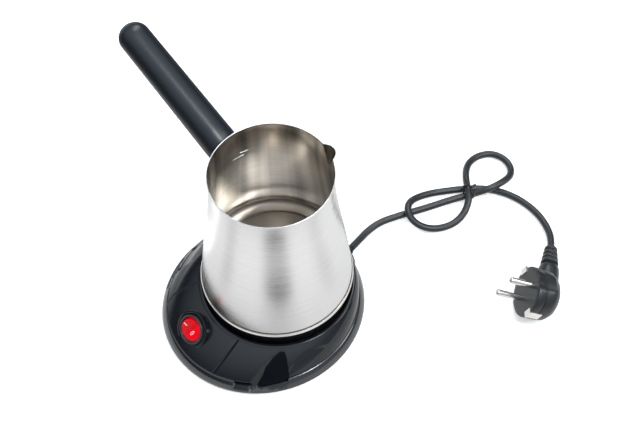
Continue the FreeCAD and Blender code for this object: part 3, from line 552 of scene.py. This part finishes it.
for r, z in ((56.0, 22.0), (56.0, 13.8)):
    x, y = plan(np.full_like(around, r), around)
    cover_rows.append(np.stack([x, y, np.full_like(around, z)], axis=1))
cover_mesh = skin("cover", cover_rows, close_rows=True, sharp=50.0)
tidy_normals(cover_mesh)
piece("cover", cover_mesh, "base", "black_gloss", "base_housing", finish=housing_black)
# The floors of the side pockets get a darker copy of the gloss black with almost no shine: painted shade
# in the recess.
pocket_shaded_black = gloss_black("abs_black_painted_shade", (0.005, 0.006, 0.008), 0.3, 0.05)
pocket_shaded_black.set(Specular_IOR_Level=0.04)
cover_mesh.materials.append(pocket_shaded_black.material)
for polygon in cover_mesh.polygons:
    middle = np.array(polygon.center) * 1000.0
    out_x = middle[0] - pot_axis[0]
    out_y = middle[1] - pot_axis[1]
    out_r = math.hypot(out_x, out_y)
    turn = math.atan2(out_y, out_x)
    side = float(side_degrees(np.array(turn)))
    wall_end = np.interp(out_r, pocket_r, pocket_from) + math.degrees(np.interp(
        out_r, pocket_r, pocket_wall) / out_r)
    if wall_end < side < np.interp(out_r, pocket_r, pocket_to) and math.cos(turn) > 0.0 and out_r > 58.5:
        polygon.material_index = 1


# Round pod for the switch, moulded on the front of the cover. Gloss black, cut off square to the
# way the switch faces, with a small rounding round its rim.
switch_heading = math.radians(279.0)
switch_rise = math.radians(38.0)
pod_rise = math.radians(62.0)
switch_face = np.array([pot_axis[0], pot_axis[1] - 72.0, 21.5])
flat = np.array([math.cos(switch_heading), math.sin(switch_heading), 0.0])
up = np.array([0.0, 0.0, 1.0])
switch_normal = flat * math.cos(switch_rise) + up * math.sin(switch_rise)
switch_spin = math.radians(-19.5)
level = np.cross(up, flat)
switch_right = level * math.cos(switch_spin) + np.cross(switch_normal, level) * math.sin(switch_spin)
switch_up = np.cross(switch_normal, switch_right)
pod_axis = flat * math.cos(pod_rise) + up * math.sin(pod_rise)
pod_side = np.cross(pod_axis, level)


def in_switch(x, y, z):
    """A point of the switch: right, up and outwards from the middle of its face."""
    return switch_face + x * switch_right + y * switch_up + z * switch_normal


turns = np.linspace(0.0, 2 * math.pi, 96, endpoint=False)
pod_rows = []
for ring_r, drop in ((13.2, 9.0), (13.2, 6.0), (13.2, 1.0), (13.12, 0.55), (12.9, 0.2), (12.5, 0.02),
                     (11.8, 0.0), (11.4, 0.1), (11.25, 0.4), (11.2, 1.3), (10.1, 1.3), (10.05, 2.4)):
    row = []
    for turn in turns:
        offset = ring_r * (math.cos(turn) * level + math.sin(turn) * pod_side)
        height = -float(offset @ switch_normal) / float(pod_axis @ switch_normal)
        row.append(switch_face + offset + pod_axis * (height - drop))
    pod_rows.append(row)
piece("switch_pod", skin("switch_pod", pod_rows), "base", "black_gloss", finish=housing_black)


# Round switch body snapped into the pod. Satin black nylon with a domed bezel and a deep well
# for the rocker.
bezel_rows = []
for ring_r, z in ((9.9, -11.0), (9.9, -1.2), (10.6, -1.15), (10.7, -0.9), (10.7, 0.4), (10.55, 0.85),
                  (10.2, 1.15), (9.8, 1.27), (9.4, 1.22), (9.05, 0.95), (8.82, 0.5), (8.75, 0.0),
                  (8.75, -8.9), (0.01, -8.9)):
    bezel_rows.append([in_switch(ring_r * math.cos(t), ring_r * math.sin(t), z) for t in turns])
nylon = moulded("nylon_satin_black", (0.026, 0.031, 0.037), 0.3, 1500.0, 0.15)
piece("bezel", skin("bezel", bezel_rows, sharp=55.0), "base", "switch_black", "switch_body",
      finish=nylon)


# Rocker. Red translucent plastic in two halves that meet in a shallow valley, over a small neon lamp.
# Its glow is painted light, brighter on one half and darker in the valley. The marks are a plain dash
# and a plain ring, filled in white.
rocker_r = 8.5
pivot_z = -1.9
rocker_low = -3.6
rocker_angle = math.radians(20.0)


def rocker_top(x):
    """Height of the rocker's face above its pivot, with a soft valley between the halves."""
    rise = math.tan(rocker_angle) * np.maximum(-x, 0.0)
    blend = 1.6 * np.exp(-(x / 1.3) ** 2) * 0.12
    return 2.7 + rise + blend


def rocker_ring(share, turn):
    """A point of the rocker's face, share 1 where it meets the round side."""
    c = math.cos(turn)
    low = 0.0
    high = rocker_r
    for _ in range(30):
        middle = (low + high) / 2
        if middle ** 2 + rocker_top(middle * c) ** 2 < rocker_r ** 2:
            low = middle
        else:
            high = middle
    r = low * share
    return r * c, r * math.sin(turn), rocker_top(r * c)


rocker_rows = []
for share in (0.002, 0.08, 0.16, 0.26, 0.36, 0.46, 0.56, 0.66, 0.76, 0.85, 0.92, 0.955):
    rocker_rows.append([in_switch(x, y, pivot_z + z) for x, y, z in
                        (rocker_ring(share, t) for t in turns)])
for sink in (0.25, 0.6, 1.2, 2.4, 4.0, 5.2):
    row = []
    for t in turns:
        x, y, z = rocker_ring(1.0, t)
        lower = max(z - sink, rocker_low)
        r = math.sqrt(max(rocker_r ** 2 - lower ** 2, 1.0))
        scale = r / math.hypot(x, y) * (0.985 if sink < 0.5 else 1.0)
        row.append(in_switch(x * scale, y * scale, pivot_z + lower))
    rocker_rows.append(row)
rocker_rows.append([in_switch(0.5 * math.cos(t), 0.5 * math.sin(t), pivot_z + rocker_low)
                    for t in turns])
red_lens = Finish("red_lens", Base_Color=(0.54, 0.001, 0.005), Roughness=0.10)
red_lens.set(Specular_IOR_Level=0.14, Emission_Strength=0.55)
lens_where = red_lens.value(red_lens.node("ShaderNodeTexCoord"), "Object")
lens_dot = red_lens.node("ShaderNodeVectorMath", {"operation": "DOT_PRODUCT"}, n0=lens_where,
                         n1=tuple(switch_right))
lens_along = 1000.0 * red_lens.value(lens_dot, 1) - float(switch_face @ switch_right)
# Painted light: the glow is brighter on one half and darker in the valley between the halves.
red_lens.set(Emission_Color=red_lens.ramp(0.5 + 0.06 * lens_along, (0.15, (0.45, 0.0, 0.008)),
                                          (0.47, (0.26, 0.0, 0.004)), (0.60, (0.80, 0.002, 0.014)),
                                          (0.95, (0.66, 0.002, 0.012))))
rocker_mesh = skin("rocker_lens", rocker_rows, sharp=60.0)
tidy_normals(rocker_mesh)
piece("rocker_lens", rocker_mesh, "rocker", "red_lens", "rocker", finish=red_lens)

mark_white = moulded("mark_white", (0.85, 0.83, 0.82), 0.45, 2500.0, 0.2, 0.00005)


def mark(name, points_in, points_out):
    """A thin filled outline that follows the rocker's face."""

    def raised(points, lift):
        return [in_switch(x, y, pivot_z + float(rocker_top(x)) + lift) for x, y in points]

    rows = [raised(points_out, -0.1), raised(points_out, 0.05), raised(points_in, 0.05),
            raised(points_in, -0.1)]
    mesh = skin(name, rows, close_rows=True)
    tidy_normals(mesh)
    piece(name, mesh, "rocker", "red_lens", finish=mark_white)


loop = np.linspace(0.0, 2 * math.pi, 48, endpoint=False)
mark("mark_ring", [(2.6 + 0.55 * math.cos(t), 1.9 * math.sin(t)) for t in loop],
     [(2.6 + 0.95 * math.cos(t), 2.3 * math.sin(t)) for t in loop])
mark("mark_dash", [(-5.0 + 1.0 * math.cos(t), 0.02 * math.sin(t)) for t in loop],
     [(-5.0 + 1.1 * np.sign(math.cos(t)) + 0.3 * math.cos(t), 0.42 * math.sin(t)) for t in loop])


# Wall of the pot. One sheet of stainless steel, 0.8 mm thick, spun to a waisted cone and brushed
# round its axis, with a pouring lip pressed out of the rim.
wall = 0.8
rim_z = 151.8
rim_r = 40.5
wall_points = ((39.2, 53.2), (70.0, 49.4), (100.0, 44.9), (130.0, 41.0), (rim_z, rim_r))
lip_azimuth = math.radians(82.0)
lip_reach = 4.2
lip_half_width = 7.5
lip_depth = 17.0


def wall_radius(z):
    """Outer radius of the wall, a smooth curve through its measured points."""
    total = 0.0
    for i, (zi, ri) in enumerate(wall_points):
        term = ri
        for j, (zj, _) in enumerate(wall_points):
            if i != j:
                term = term * (z - zj) / (zi - zj)
        total = total + term
    return total


def beak_radius(azimuth, z, inset):
    """How far the pouring lip reaches from the pot's axis, or zero beside it."""
    share = (z - (rim_z - lip_depth)) / lip_depth
    if share <= 0.0:
        return 0.0
    radius = max(1.0 + (lip_half_width - 1.0) * share - inset, 0.05)
    centre = 39.4 + (rim_r + lip_reach - lip_half_width - 39.4) * share
    turn = azimuth - lip_azimuth
    gap = radius ** 2 - (centre * math.sin(turn)) ** 2
    if gap <= 0.0 or math.cos(turn) < 0.0:
        return 0.0
    return centre * math.cos(turn) + math.sqrt(gap)


def pot_row(z, inset, turns):
    row = []
    base = wall_radius(z) - inset
    for t in turns:
        beak = beak_radius(t, z, inset)
        soft = 0.6 + 2.2 * (z - (rim_z - lip_depth)) / lip_depth
        near = max(soft - abs(beak - base), 0.0)
        r = max(base, beak) + near ** 2 / (4.0 * soft) if beak > 0.0 else base
        row.append((*plan(r, t), z))
    return row


def uv_from_wrap(mesh):
    """A UV map that runs round the pot's axis and up it, for brushed metal."""
    layer = mesh.uv_layers.new(name="brushing")
    for polygon in mesh.polygons:
        angles = []
        for index in polygon.loop_indices:
            co = mesh.vertices[mesh.loops[index].vertex_index].co
            angle = math.atan2(co.y * 1000 - pot_axis[1], co.x * 1000 - pot_axis[0]) / (2 * math.pi)
            angles.append(angle)
        start = angles[0]
        for index, angle in zip(polygon.loop_indices, angles):
            co = mesh.vertices[mesh.loops[index].vertex_index].co
            if angle - start > 0.5:
                angle -= 1.0
            elif angle - start < -0.5:
                angle += 1.0
            layer.data[index].uv = (angle, co.z * 4.0)


axis_place = (pot_axis[0] / 1000, pot_axis[1] / 1000, 0.0)


def brushed_steel(name, tint, roughness, grain, anisotropy, painted_streaks=0.0, shaded=True):
    """Stainless steel with long fine scratches round the axis and wider bands; painted_streaks adds
    upright streaks of painted reflection to its colour.
    """
    made = Finish(name, Base_Color=tint, Metallic=1.0, Roughness=roughness, Anisotropic=anisotropy)
    lines = made.noise(1.0, stretch=(9.0, 900.0, 1.0), detail=4.0, uv=True)
    bands = made.noise(1.0, stretch=(3.0, 70.0, 1.0), detail=2.0, uv=True)
    patches = made.noise(14.0, detail=2.0)
    made.set(Roughness=roughness + 0.10 * lines + 0.05 * bands + 0.05 * patches,
             Normal=made.bump(lines + 0.4 * bands, grain, 0.00008))
    if shaded:
        outwards = made.node("ShaderNodeVectorMath", {"operation": "NORMALIZE"},
                             n0=made.place((1.0, 1.0, 0.0), centre=axis_place))
        painted_reflection = made.value(made.node("ShaderNodeTexNoise", Vector=outwards, Scale=3.4, Detail=2.0))
        dark = tuple(c * (0.90 - 0.5 * painted_streaks) for c in tint)
        pale = tuple(min(c * (1.05 + 0.6 * painted_streaks), 1.0) for c in tint)
        shade = (0.75 - painted_streaks) * lines + 0.25 * bands + painted_streaks * (3.2 * painted_reflection - 1.1)
        made.set(Base_Color=made.ramp(shade, (0.25, dark), (0.75, pale)))
    return made


steel_outside = brushed_steel("steel_brushed_outside", (0.82, 0.81, 0.795), 0.16, 0.22, 0.5)
# The inside is darker than the outside, which is painted shade, and warmer in tone, with upright streaks
# of painted reflection.
steel_inside = brushed_steel("steel_brushed_inside", (0.56, 0.53, 0.49), 0.10, 0.30, 0.5, painted_streaks=0.6)
pot_turns = np.concatenate([
    np.linspace(math.radians(97.0), math.radians(427.0), 220, endpoint=False),
    np.linspace(math.radians(67.0), math.radians(97.0), 90, endpoint=False)])
heights = list(np.linspace(39.2, 133.0, 34)) + list(np.linspace(134.8, 151.3, 22))
pot_rows = [pot_row(z, 0.0, pot_turns) for z in heights]
pot_rows += [pot_row(151.62, 0.1, pot_turns), pot_row(rim_z, 0.3, pot_turns),
             pot_row(rim_z, 0.5, pot_turns), pot_row(151.62, 0.7, pot_turns)]
inner_start = len(pot_rows)
pot_rows += [pot_row(z, wall, pot_turns) for z in reversed(heights)]
pot_mesh = skin("pot_wall", pot_rows, close_rows=True, sharp=60.0)
uv_from_wrap(pot_mesh)
pot_mesh.materials.append(steel_outside.material)
pot_mesh.materials.append(steel_inside.material)
per_row = len(pot_turns)
for polygon in pot_mesh.polygons:
    polygon.material_index = 1 if polygon.index // per_row >= inner_start - 1 else 0
piece("pot_wall", pot_mesh, "pot", "brushed_steel", "pot_shell")


# Pressed marks inside the pot for the filling level: two short plain lines, raised a little from
# the inside of the wall.
for number, (azimuth, z, half) in enumerate(((175.0, 128.0, 2.6), (181.0, 124.0, 4.2))):
    rows = []
    for lift, width in ((0.0, 0.55), (-0.28, 0.32), (-0.28, -0.32), (0.0, -0.55)):
        row = []
        for step in np.linspace(-half, half, 12):
            r = wall_radius(z) - wall + 0.02 + lift
            row.append((*plan(r, math.radians(azimuth) + step / 40.0), z + width))
        rows.append(row)
    piece("level_line_%d" % number, skin("level_line_%d" % number, rows, wrap=False), "pot",
          "brushed_steel", finish=steel_inside)


# Floor of the pot. Stainless disc with a pressed middle plate, brazed into the wall; seen from
# above it shows two steps, rougher than the rest, and a circular brushed middle.
def turned(name, profile, sharp=35.0):
    """A closed mesh turned about the pot's axis from (radius, height) points."""
    angles = np.linspace(0.0, 2 * math.pi, 160, endpoint=False)
    rows = [[(*plan(max(r, 0.01), t), z) for t in angles] for r, z in profile]
    mesh = skin(name, rows, close_rows=True, sharp=sharp)
    tidy_normals(mesh)
    uv_from_wrap(mesh)
    return mesh


floor_r = wall_radius(49.0) - wall - 0.03
floor_top = [(0.0, 50.4), (12.0, 50.4), (24.0, 50.4), (39.5, 50.4), (40.2, 50.3), (40.8, 49.9),
             (41.2, 49.3), (41.6, 49.05), (42.3, 49.0), (floor_r - 3.6, 49.0), (floor_r - 2.6, 49.25),
             (floor_r - 1.7, 50.2), (floor_r - 1.3, 51.3), (floor_r - 1.1, 52.0), (floor_r - 0.35, 52.0),
             (floor_r, 48.0), (40.3, 48.0), (39.0, 49.4), (0.0, 49.4)]
steel_floor = brushed_steel("steel_floor", (0.52, 0.47, 0.42), 0.3, 0.35, 0.4, shaded=False)
off_axis = steel_floor.value(steel_floor.node(
    "ShaderNodeVectorMath", {"operation": "LENGTH"},
    n0=steel_floor.place((1.0, 1.0, 0.0), centre=axis_place)), 1)
joint = (off_axis > 0.0478) + (off_axis > 0.0400) * (off_axis < 0.0419)
steel_floor.set(Roughness=0.3 + 0.3 * joint)
piece("pot_floor_plate", turned("pot_floor_plate", floor_top, sharp=40.0), "pot", "brushed_steel",
      "pot_floor", finish=steel_floor)


# Trim ring between the wall and the black foot. Polished stainless band with two rounded edges
# and a thin brown line of cement above it.
polished = Finish("steel_polished", Base_Color=(0.95, 0.92, 0.87), Metallic=1.0)
polished.set(Roughness=0.26 + 0.10 * polished.noise(60.0))
ring_profile = [(51.15, 36.45), (53.0, 36.42), (53.8, 36.5), (54.15, 36.8), (54.2, 37.2), (54.05, 37.8),
                (53.8, 38.4), (53.55, 38.85), (53.1, 39.1), (52.6, 39.1), (51.15, 39.0)]
piece("foot_ring", turned("foot_ring", ring_profile, sharp=60.0), "pot", "brushed_steel",
      "trim_ring", finish=polished)
cement = moulded("seam_brown", (0.075, 0.048, 0.03), 0.6, 1200.0, 0.3)
cement_profile = [(52.6, 38.9), (53.45, 39.1), (53.5, 39.5), (53.42, 40.05), (53.2, 40.3), (52.6, 40.35)]
piece("foot_seam", turned("foot_seam", cement_profile), "pot", "brushed_steel", finish=cement)


# Black foot of the pot. Satin heat-proof moulding that stands in the recess and holds the
# heater's connector.
foot_black = moulded("phenolic_black", (0.012, 0.013, 0.015), 0.30, 1400.0, 0.18, cloud=0.10,
                     cloud_grain=90.0)
foot_profile = [(48.8, 16.0), (50.2, 16.0), (50.75, 16.2), (51.0, 16.8), (51.0, 32.4), (51.4, 33.2),
                (52.3, 34.6), (52.85, 35.3), (52.9, 36.4), (51.0, 36.4), (51.0, 40.4), (49.2, 40.4),
                (49.2, 34.4), (48.8, 32.4), (48.8, 22.0), (16.2, 22.0), (16.2, 20.0), (48.8, 20.0)]
piece("pot_foot", turned("pot_foot", foot_profile), "pot", "black_satin", "pot_skirt",
      finish=foot_black)


# Handle. Long grip moulded in satin black plastic, drawn in a little towards its rounded end and
# hollowed at its root to fit the wall. One screw holds it on the tongue of the steel bracket.
handle_azimuth = math.radians(191.4)
handle_rise = math.radians(28.0)
handle_flat = np.array([math.cos(handle_azimuth), math.sin(handle_azimuth), 0.0])
handle_along = handle_flat * math.cos(handle_rise) + up * math.sin(handle_rise)
handle_normal = up * math.cos(handle_rise) - handle_flat * math.sin(handle_rise)
handle_side = np.cross(handle_normal, handle_along)
handle_origin = np.array([*pot_axis, 114.2])
handle_start = rim_r / math.cos(handle_rise)
handle_tip = handle_start + 105.0
handle_end = 10.0
grip_root_r = 12.0
grip_tip_r = 10.8
grip_flatness = 0.88


def grip_point(s, radius, turn):
    side = radius * math.cos(turn)
    rise = radius * math.sin(turn) * grip_flatness
    return handle_origin + handle_along * s + handle_side * side + handle_normal * rise


def root_along(radius, turn, gap):
    """How far out along the handle its side meets the hollow that follows the wall."""
    low = handle_start - 14.0
    high = handle_start + 16.0
    for _ in range(34):
        middle = (low + high) / 2
        point = grip_point(middle, radius, turn)
        reach = math.hypot(point[0] - pot_axis[0], point[1] - pot_axis[1])
        if reach < wall_radius(min(point[2], rim_z)) + gap:
            low = middle
        else:
            high = middle
    return low


grip_turns = np.linspace(0.0, 2 * math.pi, 72, endpoint=False)
shoulder = handle_tip - handle_end
grip_rows = []
for radius, gap in ((0.3, 1.7), (6.0, 1.7), (10.9, 1.7), (11.7, 1.85), (grip_root_r, 2.4)):
    grip_rows.append([grip_point(root_along(radius, t, gap), radius, t) for t in grip_turns])
for share in np.linspace(0.12, 1.0, 30):
    row = []
    for t in grip_turns:
        start = root_along(grip_root_r, t, 2.4)
        s = start + (shoulder - start) * share
        drawn_in = (s - handle_start) / (shoulder - handle_start)
        radius = grip_root_r + (grip_tip_r - grip_root_r) * drawn_in
        row.append(grip_point(s, radius, t))
    grip_rows.append(row)
for angle in np.linspace(8.0, 89.0, 12):
    a = math.radians(angle)
    grip_rows.append([grip_point(shoulder + handle_end * math.sin(a), grip_tip_r * math.cos(a), t)
                      for t in grip_turns])
grip_mesh = skin("grip", grip_rows, sharp=50.0, ends=(True, True))
tidy_normals(grip_mesh)
grip_black = moulded("grip_black", (0.008, 0.011, 0.015), 0.27, 1100.0, 0.22, 0.00012, 0.10, 45.0)
piece("grip", grip_mesh, "pot", "black_satin", "handle", finish=grip_black)


# Hidden parts, kept as they are in the frame: steel bracket, zinc screws and studs, heater plate and
# tube, thermostat, the two halves of the round connector, switch tabs and lamp. Screws hold them.
def dress(node, finish):
    for slot in nodes[node].material_slots:
        slot.material = finish.material


def dull_metal(name, tint, roughness, spread, grain, stretch=(1.0, 1.0, 1.0)):
    """Plain metal with an uneven shine."""
    made = Finish(name, Base_Color=tint, Metallic=1.0)
    return made.set(Roughness=roughness + spread * made.noise(grain, stretch))


bracket_steel = dull_metal("bracket_steel", (0.62, 0.61, 0.60), 0.28, 0.2, 220.0, (1.0, 1.0, 12.0))
zinc = dull_metal("zinc_screw", (0.60, 0.60, 0.61), 0.26, 0.16, 500.0)
spreader_metal = dull_metal("heater_aluminium", (0.74, 0.74, 0.75), 0.34, 0.16, 120.0)
tube_steel = dull_metal("tube_steel", (0.36, 0.31, 0.27), 0.36, 0.2, 300.0)
brass = dull_metal("contact_brass", (0.78, 0.58, 0.26), 0.22, 0.16, 400.0)
connector_black = moulded("connector_black", (0.016, 0.016, 0.017), 0.5, 1300.0, 0.25)
lamp_glow = Finish("lamp_glass", Base_Color=(0.9, 0.32, 0.16))
lamp_glow.set(Roughness=0.08 + 0.06 * lamp_glow.noise(800.0))
for node, finish in (
        ("handle_bracket", bracket_steel), ("handle_screw", zinc), ("heat_spreader", spreader_metal),
        ("heating_element", tube_steel), ("thermostat", connector_black), ("floor_studs", zinc),
        ("skirt_screws", zinc), ("upper_connector", connector_black), ("upper_contacts", brass),
        ("lower_connector", connector_black), ("lower_contacts", brass), ("connector_screws", zinc),
        ("switch_terminals", brass), ("neon_lamp", lamp_glow), ("base_screws", zinc)):
    dress(node, finish)


# Four round feet under the base. Soft black rubber discs, pressed into the tray from below in two
# pairs, each pair the same distance to the left and right of the pot's axis.
rubber = moulded("foot_rubber", (0.012, 0.012, 0.012), 0.75, 1800.0, 0.4)
foot_places = bpy.data.meshes.new("foot_places")
foot_places.from_pydata([((pot_axis[0] + s * x) / 1000, y / 1000, 0.0)
                         for x, y in ((48.0, 34.0), (50.0, -38.0)) for s in (1, -1)], [], [])


def scattered(name, radius, height, sides, material):
    """A geometry tree that sets a round disc on every point, with inputs for its sizes."""
    tree = bpy.data.node_groups.new(name, "GeometryNodeTree")
    tree.interface.new_socket("Geometry", in_out="INPUT", socket_type="NodeSocketGeometry")
    for label, size in (("Radius", radius), ("Height", height)):
        socket = tree.interface.new_socket(label, in_out="INPUT", socket_type="NodeSocketFloat")
        socket.default_value = size
    tree.interface.new_socket("Geometry", in_out="OUTPUT", socket_type="NodeSocketGeometry")
    group = Nodes(tree)
    start = group.node("NodeGroupInput")
    disc_height = group.value(start, "Height")
    disc = group.node("GeometryNodeMeshCylinder", Vertices=sides, Radius=group.value(start, "Radius"),
                      Depth=disc_height)
    raised = group.node("GeometryNodeTransform", Geometry=disc,
                        Translation=group.node("ShaderNodeCombineXYZ", Z=disc_height * 0.5))
    spread = group.node("GeometryNodeInstanceOnPoints", Points=group.value(start, "Geometry"),
                        Instance=raised)
    real = group.node("GeometryNodeRealizeInstances", Geometry=spread)
    paint = group.node("GeometryNodeSetMaterial", Geometry=real, Material=material)
    group.node("NodeGroupOutput", Geometry=paint)
    return tree


def grown(name, carrier_mesh, tree):
    """The plain mesh that a geometry tree makes from a carrier mesh."""
    carrier = bpy.data.objects.new(name + "_carrier", carrier_mesh)
    bpy.context.scene.collection.objects.link(carrier)
    modifier = carrier.modifiers.new("tree", "NODES")
    modifier.node_group = tree
    made = bpy.data.meshes.new_from_object(
        carrier.evaluated_get(bpy.context.evaluated_depsgraph_get()))
    bpy.data.objects.remove(carrier)
    made.name = name
    return made


feet_mesh = grown("rubber_feet", foot_places,
                  scattered("feet_tree", 0.0065, 0.0027, 40, rubber.material))
feet_mesh.shade_smooth()
feet_mesh.set_sharp_from_angle(angle=math.radians(35.0))
piece("rubber_feet", feet_mesh, "base", "foot_rubber", "feet", finish=rubber)


# Strain relief in the back of the base. Black PVC nose with two ribs, moulded round the lead.
def tube_along(name, start, along, side, profile, sides=48, sharp=40.0, ends=(True, True)):
    """A round piece along a direction, from (distance, radius) points."""
    along = np.asarray(along) / np.linalg.norm(along)
    side = np.asarray(side) - along * float(np.dot(side, along))
    side = side / np.linalg.norm(side)
    other = np.cross(along, side)
    angles = np.linspace(0.0, 2 * math.pi, sides, endpoint=False)
    rows = [[np.asarray(start) + along * s + r * (math.cos(t) * side + math.sin(t) * other)
             for t in angles] for s, r in profile]
    mesh = skin(name, rows, sharp=sharp, ends=ends)
    tidy_normals(mesh)
    return mesh


relief_profile = [(0.0, 4.0), (0.0, 4.5), (13.5, 4.6), (15.1, 4.55), (15.9, 4.2), (16.3, 3.7),
                  (17.0, 3.65), (17.4, 4.1), (18.2, 4.05), (18.6, 3.5), (19.2, 3.45), (19.6, 3.8),
                  (20.4, 3.7), (20.8, 3.3)]
relief_mesh = tube_along("base_relief", (lead_x, 56.0, lead_z), (0.0, 1.0, 0.0), (1.0, 0.0, 0.0),
                         relief_profile)
base_relief = piece("base_relief", relief_mesh, "base", "cord_black", "cord_relief", finish=sheath)


# Plug. Moulded black PVC body with a flat face, finger flats at its sides, a neck turned to one
# side and a ribbed relief that bends down to the lead; nickel pins and two earth clips.
plug_face = np.array([137.0, 155.0, 22.264])
plug_lead_angle = math.radians(144.0)
plug_tilt = math.radians(22.0)
plug_lead = np.array([math.cos(plug_lead_angle), math.sin(plug_lead_angle), 0.0])
plug_out = np.cross(up, plug_lead) * math.cos(plug_tilt) + up * math.sin(plug_tilt)
plug_up = np.cross(plug_out, plug_lead)


def in_plug(x, y, z):
    """A point of the plug: towards the lead, across, and out along the pins."""
    return plug_face + x * plug_lead + y * plug_up + z * plug_out


plug_rows = []
for ring_r, z in ((0.02, 0.0), (15.0, 0.0), (17.6, 0.0), (18.3, -0.25), (18.6, -0.9), (18.6, -5.6),
                  (18.45, -6.0), (18.0, -6.3), (18.0, -6.9), (18.4, -7.2), (18.5, -7.8), (18.4, -11.5),
                  (18.1, -14.2), (16.8, -16.4), (15.2, -18.6), (12.9, -20.2), (8.0, -21.0),
                  (0.02, -21.0)):
    row = []
    for t in turns:
        c = math.cos(t)
        s = math.sin(t)
        r = ring_r
        if -14.0 < z < -0.5:
            r = ring_r - 0.9 * float(smooth(abs(s), 0.93, 0.98))
        row.append(in_plug(r * c, r * s, z))
    plug_rows.append(row)
plug_mesh = skin("plug_shell", plug_rows, sharp=40.0)
tidy_normals(plug_mesh)
plug_pvc = moulded("plug_pvc", (0.015, 0.016, 0.018), 0.30, 1300.0, 0.2, 0.00012, 0.12, 70.0)
plug_shell = piece("plug_shell", plug_mesh, "base", "cord_black", "plug_body", finish=plug_pvc)

neck_angle = math.radians(132.0)
neck_level = np.array([math.cos(neck_angle), math.sin(neck_angle), 0.0])
neck_start = plug_face - plug_out * 15.5
neck_profile = [(0.0, 8.8), (6.0, 8.6), (14.0, 8.2), (20.0, 7.7), (23.6, 7.3), (25.2, 6.6), (25.7, 5.4)]
neck = piece("plug_neck", tube_along("plug_neck", neck_start, neck_level, up, neck_profile), "base",
             "cord_black", finish=plug_pvc)
drop = math.radians(18.0)
bend = neck_level * math.cos(drop) - up * math.sin(drop)
bend_start = neck_start + neck_level * 24.2
bend_profile = [(0.0, 6.3)]
for rib in range(4):
    s = 1.6 + rib * 5.2
    r = 6.5 - rib * 0.5
    bend_profile += [(s, r - 1.5), (s + 1.3, r - 1.55), (s + 1.55, r - 0.5), (s + 2.0, r - 0.1),
                     (s + 2.8, r), (s + 4.2, r - 0.1), (s + 4.8, r - 0.4), (s + 5.1, r - 1.0)]
bend_profile += [(22.5, 4.1), (23.0, 3.4)]
plug_relief = piece("plug_relief", tube_along("plug_relief", bend_start, bend, up, bend_profile),
                    "base", "cord_black", finish=plug_pvc)

nickel = dull_metal("nickel", (0.74, 0.71, 0.66), 0.15, 0.14, 260.0, (1.0, 1.0, 6.0))
pin_profile = [(-8.0, 2.4), (0.0, 2.4), (17.0, 2.4), (18.0, 2.25), (18.6, 1.85), (19.0, 1.1)]
for number, (y, stands_for) in enumerate(((-9.5, ["plug_pins"]), (9.5, []))):
    mesh = tube_along("plug_pin_%d" % number, in_plug(0.0, y, 0.0), plug_out, plug_lead, pin_profile)
    piece("plug_pin_%d" % number, mesh, "base", "nickel", *stands_for, finish=nickel)
dress("plug_earth_clips", nickel)


# Wire tie round the crossing of the lead: thin steel wire in black plastic, one turn, its two
# ends twisted once and left open.
tie_centre = np.array([38.6, 182.8, 8.3])
tie_across = np.array([0.96, 0.28, 0.0])
tie_across = tie_across / np.linalg.norm(tie_across)
tie_curve = bpy.data.curves.new("wire_tie", "CURVE")
tie_curve.dimensions = "3D"
tie_line = []
for degrees in range(70, 70 + 360, 24):
    a = math.radians(degrees)
    tie_line.append(tie_centre + tie_across * 5.5 * math.cos(a) + up * 7.4 * math.sin(a))
tail = [tie_centre + tie_across * -1.5 + up * 9.0, tie_centre + tie_across * -4.2 + up * 12.2,
        tie_centre + tie_across * -6.5 + up * 14.2]
head = [tie_centre + tie_across * 4.4 + up * 13.6, tie_centre + tie_across * 2.6 + up * 10.6]
tie_points = head + tie_line + tail
tie_spline = tie_curve.splines.new("NURBS")
tie_spline.points.add(len(tie_points) - 1)
for knot, point in zip(tie_spline.points, tie_points):
    knot.co = (*(point / 1000.0), 1.0)
tie_spline.order_u = 3
tie_spline.use_endpoint_u = True
tie_curve.bevel_depth = 0.0007
tie_curve.bevel_resolution = 3
tie_holder = bpy.data.objects.new("tie_holder", tie_curve)
bpy.context.scene.collection.objects.link(tie_holder)
tie_mesh = bpy.data.meshes.new_from_object(
    tie_holder.evaluated_get(bpy.context.evaluated_depsgraph_get()))
bpy.data.objects.remove(tie_holder)
wire_tie = piece("wire_tie", tie_mesh, "base", "cord_black", "twist_tie", finish=sheath)
